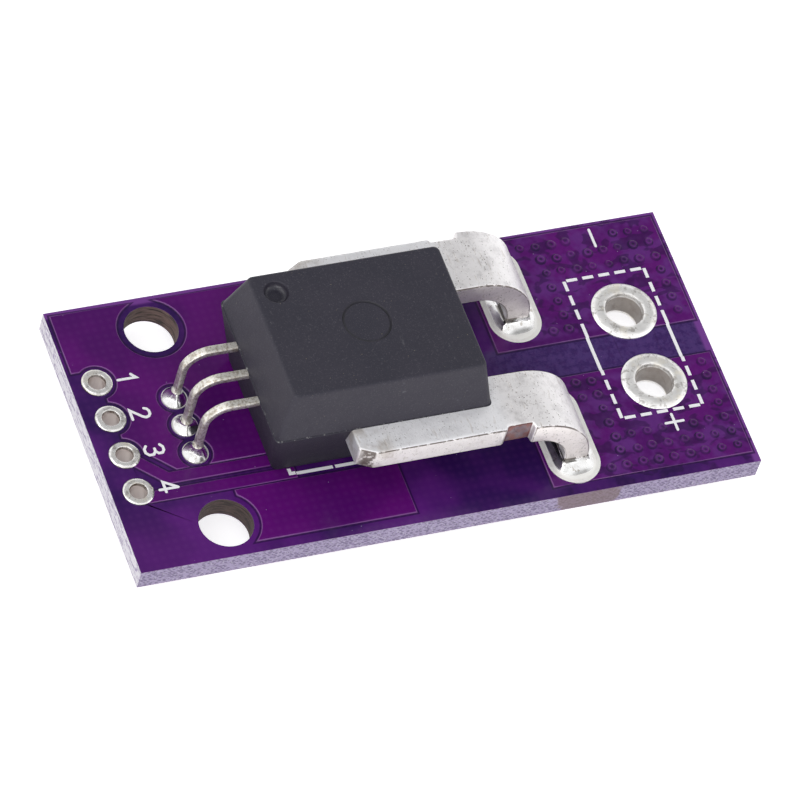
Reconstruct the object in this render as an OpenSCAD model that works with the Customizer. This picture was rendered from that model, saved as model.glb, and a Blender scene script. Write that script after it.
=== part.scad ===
// Current sensor module: a moulded hall sensor with two heavy current
// terminals, soldered through a small two-layer board. All sizes are in
// millimetres. X runs along the board from the header end to the power end,
// Y across it, and Z up. Z = 0 is the plane of the trimmed lead ends below
// the board, on which the module rests, and X = Y = 0 is the board's centre.

/* [Board] */
// Length of the board
board_l = 38.1; // [36:0.1:44]
// Width of the board
board_w = 18.1; // [17.6:0.1:24]
// Thickness of the board over its copper and solder mask
board_t = 1.6; // [1:0.1:2.4]
// Length of the lead ends below the board
tail_len = 1.2; // [0.9:0.1:2]

/* [Copper and mask] */
// Thickness of the copper foil
foil_t = 0.07; // [0.035:0.005:0.105]
// Thickness of the solder mask
mask_t = 0.03; // [0.02:0.005:0.05]
// Bare strip between the copper and the rear edge and both ends
edge_gap = 0.4; // [0.3:0.05:0.8]
// Bare strip between the copper and the front edge
front_gap = 0.8; // [0.3:0.05:1]
// Cover of mask over the flank of a copper edge
mask_flank = 0.06; // [0.04:0.01:0.1]
// Width of the output traces
trace_w = 0.52; // [0.3:0.01:0.7]
// Gap between each current pour and the board's centre line
pour_half_gap = 1.3; // [0.8:0.1:1.5]
// Distance between the two output traces, centre to centre
trace_pitch = 1.06; // [0.9:0.02:1.2]
// Distance from header hole 3 to the line of the first output trace
trace_drop = 1.98; // [1.9:0.02:2.1]
// Distance from the ends of the output traces to the case's centre
trace_to_case = 4.4; // [4:0.1:4.8]
// Groove between an output trace and the copper beside it
groove_w = 0.33; // [0.25:0.01:0.36]
// Reach of the ground and front copper past the case's centre
ground_past_case = 1.6; // [1.2:0.1:2]
// Reach of the ground copper past the centre of header holes 1 and 3
ground_past_hole = 1; // [0.95:0.05:1.1]
// Edge of the ground copper between the header holes, past their row
ground_in_row = 0.35; // [0.2:0.05:0.5]
// Corner of the ground copper beside the first output trace, past the header row
ground_corner = 1.35; // [1.3:0.05:1.6]
// Bare strip between the mounting holes' line and the front copper
front_past_mount = 1.3; // [1.1:0.1:1.6]
// Strip of current pour past the lands of the slots
pour_past_slot = 0.05; // [0.05:0.05:0.4]

/* [Mounting holes] */
// Radius of the two mounting holes
mount_r = 1.6; // [1.1:0.05:1.7]
// Distance of the mounting holes from the header end
mount_in_x = 5.84; // [5.4:0.02:6.2]
// Distance of the mounting holes from the long edges
mount_in_y = 2.25; // [2.2:0.05:2.6]
// Bare ring round each mounting hole
mount_keepout = 0.55; // [0.3:0.05:0.6]

/* [Header holes] */
// Pitch of the four header holes
header_pitch = 2.54; // [2.5:0.01:2.6]
// Radius of a header hole inside its plating
header_r = 0.5; // [0.35:0.05:0.6]
// Radius of a header land
header_land_r = 0.9; // [0.75:0.05:1]
// Distance of the header row from the board's end
header_in_x = 1.55; // [1.3:0.05:1.7]
// Bare ring round each header land
land_clear = 0.38; // [0.2:0.02:0.4]
// Wall of copper and tin in every plated hole
plating_t = 0.16; // [0.16:0.01:0.2]

/* [Wire holes] */
// Radius of a wire hole inside its plating
wire_r = 1.1; // [0.8:0.05:1.3]
// Radius of a wire land
wire_land_r = 1.97; // [1.6:0.01:2.1]
// Pitch of the two wire holes
wire_pitch = 5.08; // [4.6:0.02:5.4]
// Distance of the wire holes from the board's end
wire_in_x = 4.32; // [3:0.02:4.6]
// Height of the tin dome on a wire land
wire_dome_h = 0.16; // [0.05:0.01:0.25]
// Height of the tin dome on a header land
header_dome_h = 0.07; // [0.03:0.01:0.12]

/* [Sensor case] */
// Length of the case at its parting plane
case_l = 13.1; // [12.6:0.1:13.4]
// Width of the case at its parting plane
case_w = 9.94; // [9.5:0.02:11]
// Height of the case above its parting plane
case_up = 3.14; // [2.9:0.02:3.6]
// Height of the case below its parting plane
case_down = 4.41; // [4:0.01:5]
// Draft angle of both halves
case_draft = 13; // [5:0.5:14]
// Step between the upper and the lower half at the parting plane
case_step = 0.06; // [0.02:0.01:0.12]
// Chamfer of the case's upright corners
case_corner = 0.3; // [0.1:0.05:0.6]
// Radius of the round mark of the ejector pin on top
ejector_r = 1.42; // [1:0.02:1.8]
// Depth of that mark
ejector_depth = 0.07; // [0.03:0.01:0.15]
// Radius of the dimple that marks lead 1
dimple_r = 0.72; // [0.5:0.02:0.8]
// Depth of that dimple
dimple_depth = 0.5; // [0.3:0.05:0.8]
// Distance of the dimple from the two edges of the top face
dimple_inset = 1.35; // [1.1:0.05:1.6]

/* [Current terminals] */
// Thickness of the conductor
term_t = 1.5; // [1.2:0.05:1.7]
// Width of a formed terminal
term_w = 4.0; // [3.6:0.1:4.2]
// Gap between the two terminals
term_gap = 6.0; // [5.6:0.1:6.4]
// Inner radius of a terminal's bend
term_bend_r = 2.5; // [2:0.1:2.6]
// Distance of the terminal slots from the power end
slot_in_x = 11.0; // [10.8:0.1:12]
// Distance from the slots to the case's centre
slot_to_case = 11.93; // [11.8:0.01:12.1]
// Trim of the wing beside the case, behind the terminal's outer edge
wing_trim = 0.18; // [0.1:0.02:0.3]
// Trim of the neck where the tie bar was cut, behind the same edge
neck_trim = 0.4; // [0.32:0.02:0.6]
// Length of that neck
neck_l = 1.7; // [1:0.1:1.8]
// Full width between the neck and the bend
neck_to_bend = 0.15; // [0.1:0.05:0.4]
// Distance from the case's centre to the wing's far end
wing_reach = 2.03; // [1.8:0.01:2.2]
// Chamfer of the wing's corner along X
wing_corner_x = 0.95; // [0.5:0.05:1.2]
// Chamfer of the wing's corner along Y
wing_corner_y = 0.5; // [0.2:0.05:0.7]
// Width of the bridge that joins the two arms inside the case
bridge_w = 2.0; // [1.5:0.1:2.2]

/* [Slots] */
// Room between a terminal and the long wall of its plated slot
slot_room = 0.3; // [0.2:0.05:0.4]
// Room between a terminal's edges and the ends of its plated slot
slot_end_room = 0.85; // [0.6:0.05:0.9]
// Width of the land round a plated slot
slot_land = 0.39; // [0.3:0.01:0.5]

/* [Signal leads] */
// Pitch of the three signal leads
lead_pitch = 1.91; // [1.7:0.01:2]
// Width of a signal lead
lead_w = 0.5; // [0.35:0.01:0.6]
// Thickness of a signal lead
lead_t = 0.38; // [0.3:0.01:0.45]
// Inner radius of a signal lead's bend
lead_bend_r = 1.2; // [0.8:0.05:1.4]
// Distance from the signal leads' holes to the case's centre
lead_to_case = 9.56; // [9.4:0.01:9.8]
// Radius of a signal hole inside its plating
lead_hole_r = 0.45; // [0.4:0.01:0.5]
// Radius of a signal land
lead_land_r = 0.77; // [0.7:0.01:0.8]

/* [Solder] */
// Height of the solder cone on a signal lead
cone_h = 0.8; // [0.4:0.05:1]
// Height of the solder fillet round a terminal
fillet_h = 0.75; // [0.4:0.05:0.9]
// Skin of solder at the top of a cone or fillet
solder_skin = 0.12; // [0.08:0.01:0.2]
// Bare edge of a land past its solder
solder_edge = 0.05; // [0.03:0.01:0.08]
// Bare edge of a slot land past its solder
fillet_edge = 0.25; // [0.05:0.05:0.4]
// Height of the knee in a terminal's fillet, as a share of its height
knee_up_share = 0.3; // [0.2:0.05:0.4]
// Spread of the fillet at its knee, as a share of its spread on the land
knee_out_share = 0.35; // [0.25:0.05:0.5]
// Lead ends that stay bare below the solder
tail_show = 0.3; // [0.1:0.05:0.5]

/* [Printed legend] */
// Width of a printed line
ink_w = 0.2; // [0.12:0.01:0.25]
// Thickness of the printed ink
ink_t = 0.02; // [0.01:0.005:0.03]
// Room between the wire lands and the dashed frame, on the side of the slots
frame_room_slots = 0.86; // [0.5:0.02:1.2]
// Room between the wire lands and the frame at the board's end
frame_room_end = 0.3; // [0.2:0.02:0.6]
// Room between the rear wire land and the frame
frame_room_rear = 0.74; // [0.4:0.02:1]
// Room between the front wire land and the frame
frame_room_front = 0.14; // [0.14:0.02:0.6]
// Length of the frame's unbroken middle stretch along Y
frame_solid = 3.5; // [2:0.1:4]
// Gap between that stretch and the next dash
frame_break = 0.45; // [0.3:0.05:0.6]
// Length of a dash
dash_l = 0.68; // [0.5:0.02:0.8]
// Pitch of the dashes
dash_pitch = 1.02; // [0.95:0.01:1.2]
// Room between the case's foot and the printed outline in front of it
outline_room = 0.39; // [0.35:0.01:0.6]
// Start of that outline, behind the end of the case's foot
outline_in = 0.94; // [0.7:0.02:1.2]
// Length of its first and of its second stretch
outline_run = 2.5; // [2:0.1:2.8]
// Gap between the two stretches
outline_gap = 0.35; // [0.3:0.05:0.6]
// Length of the tick at the outline's corner
outline_tick = 0.24; // [0.2:0.02:0.26]

/* [Inside the case] */
// Wall of the flux core
core_wall = 1.2; // [0.8:0.05:1.4]
// Width of the flux core along the bridge
core_w = 2.4; // [1.6:0.1:2.6]
// Room between the flux core and the bridge
core_room = 0.4; // [0.3:0.05:0.6]
// Room in the air gap below the middle lead's paddle
paddle_room = 0.07; // [0.04:0.01:0.12]
// Rim of the paddle round the hall die
paddle_rim = 0.15; // [0.1:0.05:0.2]
// Reach of the paddle past the bond pads
paddle_reach = 1.4; // [1.2:0.05:1.5]
// Width of the bond posts of the two outer leads
post_w = 0.9; // [0.7:0.05:1]
// Reach of those posts past the bond pads
post_reach = 0.7; // [0.5:0.05:0.9]
// Reach of the two outer leads into the line of the flux core
post_in = 0.2; // [0.1:0.05:0.4]
// Height of the air gap in the flux core
core_air = 1.15; // [1.1:0.05:1.3]
// Side of the hall die
die_side = 1.5; // [1.2:0.05:1.6]
// Thickness of the hall die
die_t = 0.35; // [0.2:0.01:0.4]
// Distance from the die's edge to its bond pads
die_edge = 0.2; // [0.1:0.05:0.3]
// Distance from the bond pads to the flux core
bond_to_core = 0.3; // [0.25:0.05:0.4]
// Distance of the outer bond pads from the die's middle
bond_pad_y = 0.5; // [0.4:0.05:0.6]
// Span of the middle bond wire
bond_span = 0.9; // [0.7:0.05:1]
// Straight rise of a bond wire from the die
bond_lift = 0.05; // [0.03:0.01:0.1]
// Radius of a bond wire
wire_bond_r = 0.03; // [0.02:0.01:0.04]

/* [Hidden] */

// Overshoot of a cutting tool past the face that it cuts
cut = 0.5;
// Facets of a large, a middling and a small round
fn_big = 48;
fn_mid = 32;
fn_small = 20;

// Levels, from the rest plane up
under_z = tail_len;
core_z0 = under_z + mask_t + foil_t;
core_z1 = under_z + board_t - mask_t - foil_t;
top_z = under_z + board_t;
parting_z = top_z + case_down;

// Places along the board
end_x = board_l / 2;
side_y = board_w / 2;
header_x = header_in_x - end_x;
mount_x = mount_in_x - end_x;
mount_y = side_y - mount_in_y;
wire_x = end_x - wire_in_x;
slot_x = end_x - slot_in_x;
case_x = slot_x - slot_to_case;
lead_x = case_x - lead_to_case;

// Rows of holes, numbered from the rear
header_ys = [for (i = [0:3]) (1.5 - i) * header_pitch];
lead_ys = [for (i = [0:2]) (1 - i) * lead_pitch];
term_y = (term_gap + term_w) / 2;
wire_y = wire_pitch / 2;

// The plated slots, as a width and a distance between their end centres
slot_w = term_t + 2 * slot_room;
slot_run = term_w + 2 * slot_end_room - slot_w;
slot_land_w = slot_w + 2 * plating_t + 2 * slot_land;

// Edges of the copper fields
field_y = side_y - edge_gap;
front_y = side_y - front_gap;
field_x0 = edge_gap - end_x;
field_x1 = case_x + ground_past_case;
pour_x0 = slot_x - slot_land_w / 2 - pour_past_slot;
pour_x1 = end_x - edge_gap;
tongue_x = header_x + ground_in_row;
trace_1_y = header_ys[2] - trace_drop;
trace_2_y = trace_1_y - trace_pitch;
field_y0 = trace_1_y + trace_w / 2 + groove_w;
front_y1 = trace_2_y - trace_w / 2 - groove_w;
front_x0 = mount_x + front_past_mount;
trace_end_x = case_x - trace_to_case;

// The printed frame and the corner of the sensor's outline
frame_l = 2 * wire_land_r + frame_room_slots + frame_room_end;
frame_w = 2 * (wire_y + wire_land_r) + frame_room_rear + frame_room_front;
frame_x = wire_x + (frame_room_end - frame_room_slots) / 2;
frame_y = (frame_room_rear - frame_room_front) / 2;
side_dashes = floor((frame_w - frame_solid) / 2 / dash_pitch);
end_dashes = floor((frame_l - dash_l) / 2 / dash_pitch);
foot_inset = case_step - case_down * tan(case_draft);
outline_x = case_x - case_l / 2 - foot_inset + outline_in;
outline_y = -case_w / 2 - foot_inset - outline_room;

// The conductor and the leads
term_outer = term_gap / 2 + term_w;
term_bend_x = slot_x - term_t / 2 - term_bend_r;
term_bend_z = parting_z - term_t - term_bend_r;
neck_x1 = term_bend_x - neck_to_bend;
neck_x0 = neck_x1 - neck_l;
wing_x0 = case_x - wing_reach;
lead_bend_x = lead_x + lead_t / 2 + lead_bend_r;
lead_bend_z = parting_z - lead_t - lead_bend_r;

// Inside the case
core_x0 = wing_x0 - core_room - core_wall;
core_x1 = wing_x0 + bridge_w + core_room + core_wall;
core_z_low = parting_z - term_t - core_room - core_wall;
air_z = parting_z - lead_t - paddle_room;
core_z_high = air_z + core_air + core_wall;
bond_x = core_x0 - bond_to_core;

// Top of the case
case_top_z = parting_z + case_up;
top_inset = case_up * tan(case_draft);
dimple_x = case_x - case_l / 2 + top_inset + dimple_inset;
dimple_y = case_w / 2 - top_inset - dimple_inset;

// Flat helpers

module board_flat() {
    square([board_l, board_w], center = true);
}

module stadium(w, run) {
    square([w, run], center = true);
    for (s = [-1, 1])
        translate([0, s * run / 2]) circle(d = w, $fn = fn_mid);
}

// A point of a band's edge: the route's point i, moved sideways with a mitred turn
function edge_point(route, i, half) =
    let (
        last = len(route) - 1,
        before = route[max(i, 1)] - route[max(i, 1) - 1],
        after = route[min(i, last - 1) + 1] - route[min(i, last - 1)],
        a = before / norm(before),
        b = after / norm(after),
        n = [-(a + b)[1], (a + b)[0]]
    )
    route[i] + n * half / (n * [-a[1], a[0]]);

// A band of width w along a route
module band(route, w) {
    last = len(route) - 1;
    left = [for (i = [0:last]) edge_point(route, i, w / 2)];
    right = [for (i = [last:-1:0]) edge_point(route, i, -w / 2)];
    polygon(concat(left, right));
}

module header_places() {
    for (y = header_ys) translate([header_x, y]) children();
}

module lead_places() {
    for (y = lead_ys) translate([lead_x, y]) children();
}

module mount_places() {
    for (s = [-1, 1]) translate([mount_x, s * mount_y]) children();
}

module power_places(x, y) {
    for (s = [-1, 1]) translate([x, s * y]) children();
}

// Every hole in the board, each plated one widened by its plating
module drills_flat() {
    mount_places() circle(r = mount_r, $fn = fn_mid);
    header_places() circle(r = header_r + plating_t, $fn = fn_mid);
    lead_places() circle(r = lead_hole_r + plating_t, $fn = fn_mid);
    power_places(wire_x, wire_y) circle(r = wire_r + plating_t, $fn = fn_big);
    power_places(slot_x, term_y) stadium(slot_w + 2 * plating_t, slot_run);
}

// The lands, left bare by the mask
module lands_flat() {
    header_places() circle(r = header_land_r, $fn = fn_mid);
    lead_places() circle(r = lead_land_r, $fn = fn_mid);
    power_places(wire_x, wire_y) circle(r = wire_land_r, $fn = fn_big);
    power_places(slot_x, term_y) stadium(slot_land_w, slot_run);
}

// Bare laminate round the lands and the mounting holes of a ground field
module keepouts_flat(grow) {
    header_places() circle(r = header_land_r + land_clear - grow, $fn = fn_mid);
    lead_places() circle(r = lead_land_r + land_clear - grow, $fn = fn_mid);
    mount_places() circle(r = mount_r + mount_keepout - grow, $fn = fn_big);
}

// Outlines of the copper, each grown by the mask's cover where the mask uses it

module pour_flat(s, grow = 0) {
    low = pour_half_gap - grow;
    high = (s > 0 ? field_y : front_y) + grow;
    difference() {
        mirror([0, s < 0 ? 1 : 0])
            translate([pour_x0 - grow, low])
                square([pour_x1 - pour_x0 + 2 * grow, high - low]);
        translate([wire_x, s * wire_y]) circle(r = wire_land_r, $fn = fn_big);
        translate([slot_x, s * term_y]) stadium(slot_land_w, slot_run);
    }
}

module ground_flat(grow = 0) {
    corner_x = header_x + ground_corner;
    tongue_y = header_ys[0] + ground_past_hole;
    difference() {
        polygon([
            [field_x0 - grow, field_y + grow],
            [field_x1 + grow, field_y + grow],
            [field_x1 + grow, field_y0 - grow],
            [corner_x + header_ys[2] - field_y0 - grow, field_y0 - grow],
            [corner_x - grow, header_ys[2] - grow],
            [tongue_x - grow, header_ys[2] + ground_past_hole],
            [tongue_x - grow, tongue_y - grow],
            [field_x0 - grow, tongue_y - grow]
        ]);
        keepouts_flat(grow);
    }
}

module front_flat(grow = 0) {
    difference() {
        translate([front_x0 - grow, -front_y - grow])
            square([field_x1 - front_x0 + 2 * grow, front_y + front_y1 + 2 * grow]);
        keepouts_flat(grow);
    }
}

// An output trace from its header land to its end under the case
module trace_flat(y_from, y_to, grow = 0) {
    turn_x = header_x + y_from - y_to;
    difference() {
        band([[header_x, y_from], [turn_x, y_to], [trace_end_x + grow, y_to]], trace_w + 2 * grow);
        translate([header_x, y_from]) circle(r = header_land_r, $fn = fn_mid);
    }
}

// The bottom trace from the output lead to the end of the top one
module bottom_band(w, end) {
    turn_x = lead_x + lead_ys[2] - trace_1_y;
    band([[lead_x, lead_ys[2]], [turn_x, trace_1_y], [trace_end_x + end, trace_1_y]], w);
}

module bottom_ground_flat(grow = 0) {
    difference() {
        translate([tongue_x - grow, -front_y - grow])
            square([field_x1 - tongue_x + 2 * grow, front_y + field_y + 2 * grow]);
        keepouts_flat(grow);
        bottom_band(trace_w + 2 * groove_w - 2 * grow, groove_w - grow);
    }
}

module bottom_trace_flat(grow = 0) {
    difference() {
        bottom_band(trace_w + 2 * grow, grow);
        translate([lead_x, lead_ys[2]]) circle(r = lead_land_r, $fn = fn_mid);
    }
}

module top_copper_flat(grow) {
    for (s = [-1, 1]) pour_flat(s, grow);
    ground_flat(grow);
    front_flat(grow);
    trace_flat(header_ys[2], trace_1_y, grow);
    trace_flat(header_ys[3], trace_2_y, grow);
}

module bottom_copper_flat(grow) {
    for (s = [-1, 1]) pour_flat(s, grow);
    bottom_ground_flat(grow);
    bottom_trace_flat(grow);
}

// Solid helpers

// A tin dome between two radii, standing on Z = 0
module tin_dome(r_in, r_out, h) {
    half = (r_out - r_in) / 2;
    r = (half * half + h * h) / (2 * h);
    rotate_extrude($fn = fn_mid)
        translate([r_in + half, 0])
            intersection() {
                translate([-half, 0]) square([2 * half, 2 * h]);
                translate([0, h - r]) circle(r = r, $fn = fn_big);
            }
}

// A prism whose two long sides lean in by inset over its height
module wedge(span, depth, inset, h) {
    rotate([90, 0, 0])
        linear_extrude(depth, center = true)
            polygon([[-span / 2, 0], [span / 2, 0], [span / 2 - inset, h], [inset - span / 2, h]]);
}

// A drafted block with chamfered upright corners, standing on Z = 0
module drafted(l, w, h, corner) {
    inset = h * tan(case_draft);
    diagonal = (l + w - 2 * corner) / sqrt(2);
    intersection() {
        wedge(l, l, inset, h);
        rotate(90) wedge(w, 2 * l, inset, h);
        rotate(45) wedge(diagonal, 2 * l, inset * sqrt(2), h);
        rotate(-45) wedge(diagonal, 2 * l, inset * sqrt(2), h);
    }
}

// A stadium that narrows from w0 to w1 over its height
module stadium_cone(w0, w1, run, h) {
    wedge(w0, run, (w0 - w1) / 2, h);
    for (s = [-1, 1])
        translate([0, s * run / 2, 0])
            cylinder(d1 = w0, d2 = w1, h = h, $fn = fn_mid);
}

// A quarter bend about the Y axis, from the leg up to the flat
module quarter_bend(r, t, w) {
    rotate([90, 0, 0])
        rotate_extrude(angle = 90, $fn = fn_big)
            translate([r, -w / 2]) square([t, w]);
}

// Solder mask on one side, its copper given by children at both growths
module mask_sheet() {
    difference() {
        union() {
            linear_extrude(mask_t) board_flat();
            linear_extrude(foil_t + mask_t)
                intersection() {
                    board_flat();
                    children(0);
                }
        }
        translate([0, 0, -cut]) linear_extrude(cut + foil_t) children(1);
        translate([0, 0, -cut])
            linear_extrude(2 * cut + foil_t + mask_t) {
                lands_flat();
                mount_places() circle(r = mount_r, $fn = fn_mid);
            }
    }
}

// The board

module board_core() {
    color([0.72, 0.70, 0.66])
        translate([0, 0, core_z0])
            linear_extrude(core_z1 - core_z0)
                difference() {
                    board_flat();
                    drills_flat();
                }
}

module mask_top() {
    color([0.27, 0.10, 0.42])
        translate([0, 0, core_z1])
            mask_sheet() {
                top_copper_flat(mask_flank);
                top_copper_flat(0);
            }
}

module mask_bottom() {
    color([0.27, 0.10, 0.42])
        translate([0, 0, core_z0])
            mirror([0, 0, 1])
                mask_sheet() {
                    bottom_copper_flat(mask_flank);
                    bottom_copper_flat(0);
                }
}

// A printed line between two points that lie along X or Y
module ink_line(from, to) {
    low = [min(from[0], to[0]), min(from[1], to[1])];
    high = [max(from[0], to[0]), max(from[1], to[1])];
    translate(low - [ink_w / 2, ink_w / 2])
        square(high - low + [ink_w, ink_w]);
}

module legend_flat() {
    // Dashed frame round the wire lands
    dash = dash_l - ink_w;
    for (s = [-1, 1]) {
        x = frame_x + s * frame_l / 2;
        ink_line([x, frame_y - frame_solid / 2], [x, frame_y + frame_solid / 2]);
        for (t = [-1, 1])
            for (n = [0:side_dashes - 1]) {
                y = frame_y + t * (frame_solid / 2 + frame_break + ink_w / 2 + n * dash_pitch);
                ink_line([x, y], [x, y + t * dash]);
            }
        for (n = [-end_dashes:end_dashes]) {
            x_mid = frame_x + n * dash_pitch;
            y = frame_y + s * frame_w / 2;
            ink_line([x_mid - dash / 2, y], [x_mid + dash / 2, y]);
        }
    }
    // Corner of the sensor's outline, in front of the case
    for (n = [0, 1]) {
        x = outline_x + n * (outline_run + outline_gap);
        ink_line([x, outline_y], [x + outline_run, outline_y]);
    }
    ink_line([outline_x, outline_y], [outline_x, outline_y + outline_tick]);
}

module legend_lines() {
    color([0.95, 0.95, 0.97]) {
        translate([0, 0, top_z])
            linear_extrude(ink_t)
                intersection() {
                    legend_flat();
                    top_copper_flat(mask_flank);
                }
        translate([0, 0, core_z1 + mask_t])
            linear_extrude(ink_t)
                difference() {
                    legend_flat();
                    top_copper_flat(mask_flank);
                }
    }
}

module top_foil() {
    color([0.80, 0.48, 0.30])
        translate([0, 0, core_z1])
            linear_extrude(foil_t) children();
}

module bottom_foil() {
    color([0.80, 0.48, 0.30])
        translate([0, 0, core_z0 - foil_t])
            linear_extrude(foil_t) children();
}

// A plated hole with a land on both sides
module barrel(bore_r, land_r, dome_h = 0) {
    color([0.82, 0.82, 0.83])
        difference() {
            union() {
                for (z = [under_z, core_z1])
                    translate([0, 0, z]) cylinder(r = land_r, h = foil_t + mask_t, $fn = fn_mid);
                translate([0, 0, core_z0])
                    cylinder(r = bore_r + plating_t, h = core_z1 - core_z0, $fn = fn_mid);
                if (dome_h > 0) {
                    translate([0, 0, top_z]) tin_dome(bore_r, land_r, dome_h);
                    translate([0, 0, under_z]) mirror([0, 0, 1]) tin_dome(bore_r, land_r, dome_h);
                }
            }
            translate([0, 0, under_z - cut])
                cylinder(r = bore_r, h = board_t + 2 * cut, $fn = fn_mid);
        }
}

module header_barrel(i) {
    translate([header_x, header_ys[i], 0])
        barrel(header_r, header_land_r, header_dome_h);
}

module signal_barrel(i) {
    translate([lead_x, lead_ys[i], 0])
        barrel(lead_hole_r, lead_land_r);
}

module wire_barrel(s) {
    translate([wire_x, s * wire_y, 0])
        barrel(wire_r, wire_land_r, wire_dome_h);
}

module slot_barrel(s) {
    color([0.82, 0.82, 0.83])
        translate([slot_x, s * term_y, 0])
            difference() {
                union() {
                    for (z = [under_z, core_z1])
                        translate([0, 0, z])
                            linear_extrude(foil_t + mask_t) stadium(slot_land_w, slot_run);
                    translate([0, 0, core_z0])
                        linear_extrude(core_z1 - core_z0)
                            stadium(slot_w + 2 * plating_t, slot_run);
                }
                translate([0, 0, under_z - cut])
                    linear_extrude(board_t + 2 * cut) stadium(slot_w, slot_run);
            }
}

// The sensor

// Flat outline of the conductor: two arms joined by a bridge at their far end
module conductor_flat() {
    wing_y = term_outer - wing_trim;
    half = [
        [wing_x0, wing_y - wing_corner_y],
        [wing_x0 + wing_corner_x, wing_y],
        [neck_x0, wing_y],
        [neck_x0, term_outer - neck_trim],
        [neck_x1, term_outer - neck_trim],
        [neck_x1, term_outer],
        [term_bend_x, term_outer],
        [term_bend_x, term_gap / 2],
        [wing_x0 + bridge_w, term_gap / 2]
    ];
    back = [for (i = [len(half) - 1:-1:0]) [half[i][0], -half[i][1]]];
    polygon(concat(half, back));
}

module primary_conductor() {
    color([0.80, 0.79, 0.78]) {
        translate([0, 0, parting_z - term_t])
            linear_extrude(term_t) conductor_flat();
        for (s = [-1, 1])
            translate([term_bend_x, s * term_y, term_bend_z]) {
                quarter_bend(term_bend_r, term_t, term_w);
                translate([term_bend_r, -term_w / 2, -term_bend_z])
                    cube([term_t, term_w, term_bend_z]);
            }
    }
}

module lead_flat(i) {
    x1 = core_x0 + (i == 1 ? core_wall : post_in);
    pad_x = bond_x - (i == 1 ? paddle_reach : post_reach);
    pad_w = i == 1 ? die_side + 2 * paddle_rim : post_w;
    translate([lead_bend_x, -lead_w / 2]) square([x1 - lead_bend_x, lead_w]);
    translate([pad_x, -pad_w / 2]) square([x1 - pad_x, pad_w]);
}

module signal_lead(i) {
    color([0.78, 0.76, 0.70])
        translate([0, lead_ys[i], 0]) {
            translate([0, 0, parting_z - lead_t])
                linear_extrude(lead_t) lead_flat(i);
            translate([lead_bend_x, 0, lead_bend_z])
                mirror([1, 0, 0]) {
                    quarter_bend(lead_bend_r, lead_t, lead_w);
                    translate([lead_bend_r, -lead_w / 2, -lead_bend_z])
                        cube([lead_t, lead_w, lead_bend_z]);
                }
        }
}

// Soft magnetic ring round the bridge, open at its air gap on the lead side
module flux_core() {
    color([0.25, 0.25, 0.27])
        difference() {
            translate([core_x0, -core_w / 2, core_z_low])
                cube([core_x1 - core_x0, core_w, core_z_high - core_z_low]);
            translate([core_x0 + core_wall, -core_w, core_z_low + core_wall])
                cube([
                    core_x1 - core_x0 - 2 * core_wall,
                    2 * core_w,
                    core_z_high - core_z_low - 2 * core_wall
                ]);
            translate([core_x0 - cut, -core_w, air_z])
                cube([core_wall + 2 * cut, 2 * core_w, core_air]);
        }
}

// Silicon die, glued to the middle lead's paddle inside the air gap
module hall_die() {
    color([0.35, 0.37, 0.42])
        translate([bond_x - die_edge, -die_side / 2, parting_z])
            cube([die_side, die_side, die_t]);
}

// A bond wire from the die, over an arch, down to its lead
module bond_arch(span) {
    r = wire_bond_r;
    rise = die_t + bond_lift;
    translate([0, 0, die_t]) cylinder(r = r, h = bond_lift, $fn = fn_small);
    translate([span, 0, 0]) cylinder(r = r, h = rise, $fn = fn_small);
    translate([span / 2, 0, rise])
        rotate([90, 0, 0])
            rotate_extrude(angle = 180, $fn = fn_mid)
                translate([span / 2, 0]) circle(r = r, $fn = fn_small);
}

module bond_wire(i) {
    color([0.85, 0.68, 0.25])
        translate([bond_x, 0, parting_z])
            if (i == 1)
                mirror([1, 0, 0]) bond_arch(bond_span);
            else
                translate([0, sign(lead_ys[i]) * bond_pad_y, 0])
                    rotate(90 * sign(lead_ys[i]))
                        bond_arch(lead_pitch - bond_pad_y);
}

module case_solid() {
    lower_l = case_l + 2 * case_step;
    lower_w = case_w + 2 * case_step;
    difference() {
        translate([case_x, 0, parting_z]) {
            drafted(case_l, case_w, case_up, case_corner);
            mirror([0, 0, 1]) drafted(lower_l, lower_w, case_down, case_corner);
        }
        translate([case_x, 0, case_top_z - ejector_depth])
            cylinder(r = ejector_r, h = cut, $fn = fn_big);
        translate([dimple_x, dimple_y, case_top_z - dimple_depth])
            cylinder(r = dimple_r, h = dimple_depth + cut, $fn = fn_mid);
    }
}

module sensor_case() {
    color([0.22, 0.22, 0.27])
        difference() {
            case_solid();
            primary_conductor();
            flux_core();
            hall_die();
            for (i = [0:2]) {
                signal_lead(i);
                bond_wire(i);
            }
        }
}

// Solder

module signal_solder(i) {
    r_top = norm([lead_w, lead_t]) / 2 + solder_skin;
    r_land = lead_land_r - solder_edge;
    color([0.86, 0.86, 0.87])
        difference() {
            translate([lead_x, lead_ys[i], 0]) {
                translate([0, 0, top_z])
                    cylinder(r1 = r_land, r2 = r_top, h = cone_h, $fn = fn_mid);
                translate([0, 0, under_z])
                    cylinder(r = lead_hole_r, h = board_t, $fn = fn_mid);
                translate([0, 0, tail_show])
                    cylinder(r1 = r_top, r2 = r_land, h = under_z - tail_show, $fn = fn_mid);
            }
            signal_lead(i);
        }
}

module terminal_fillet(h) {
    low = knee_up_share * h;
    w0 = slot_land_w - 2 * fillet_edge;
    w2 = term_t + 2 * solder_skin;
    w1 = w2 + knee_out_share * (w0 - w2);
    stadium_cone(w0, w1, slot_run, low);
    translate([0, 0, low]) stadium_cone(w1, w2, slot_run, h - low);
}

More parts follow.
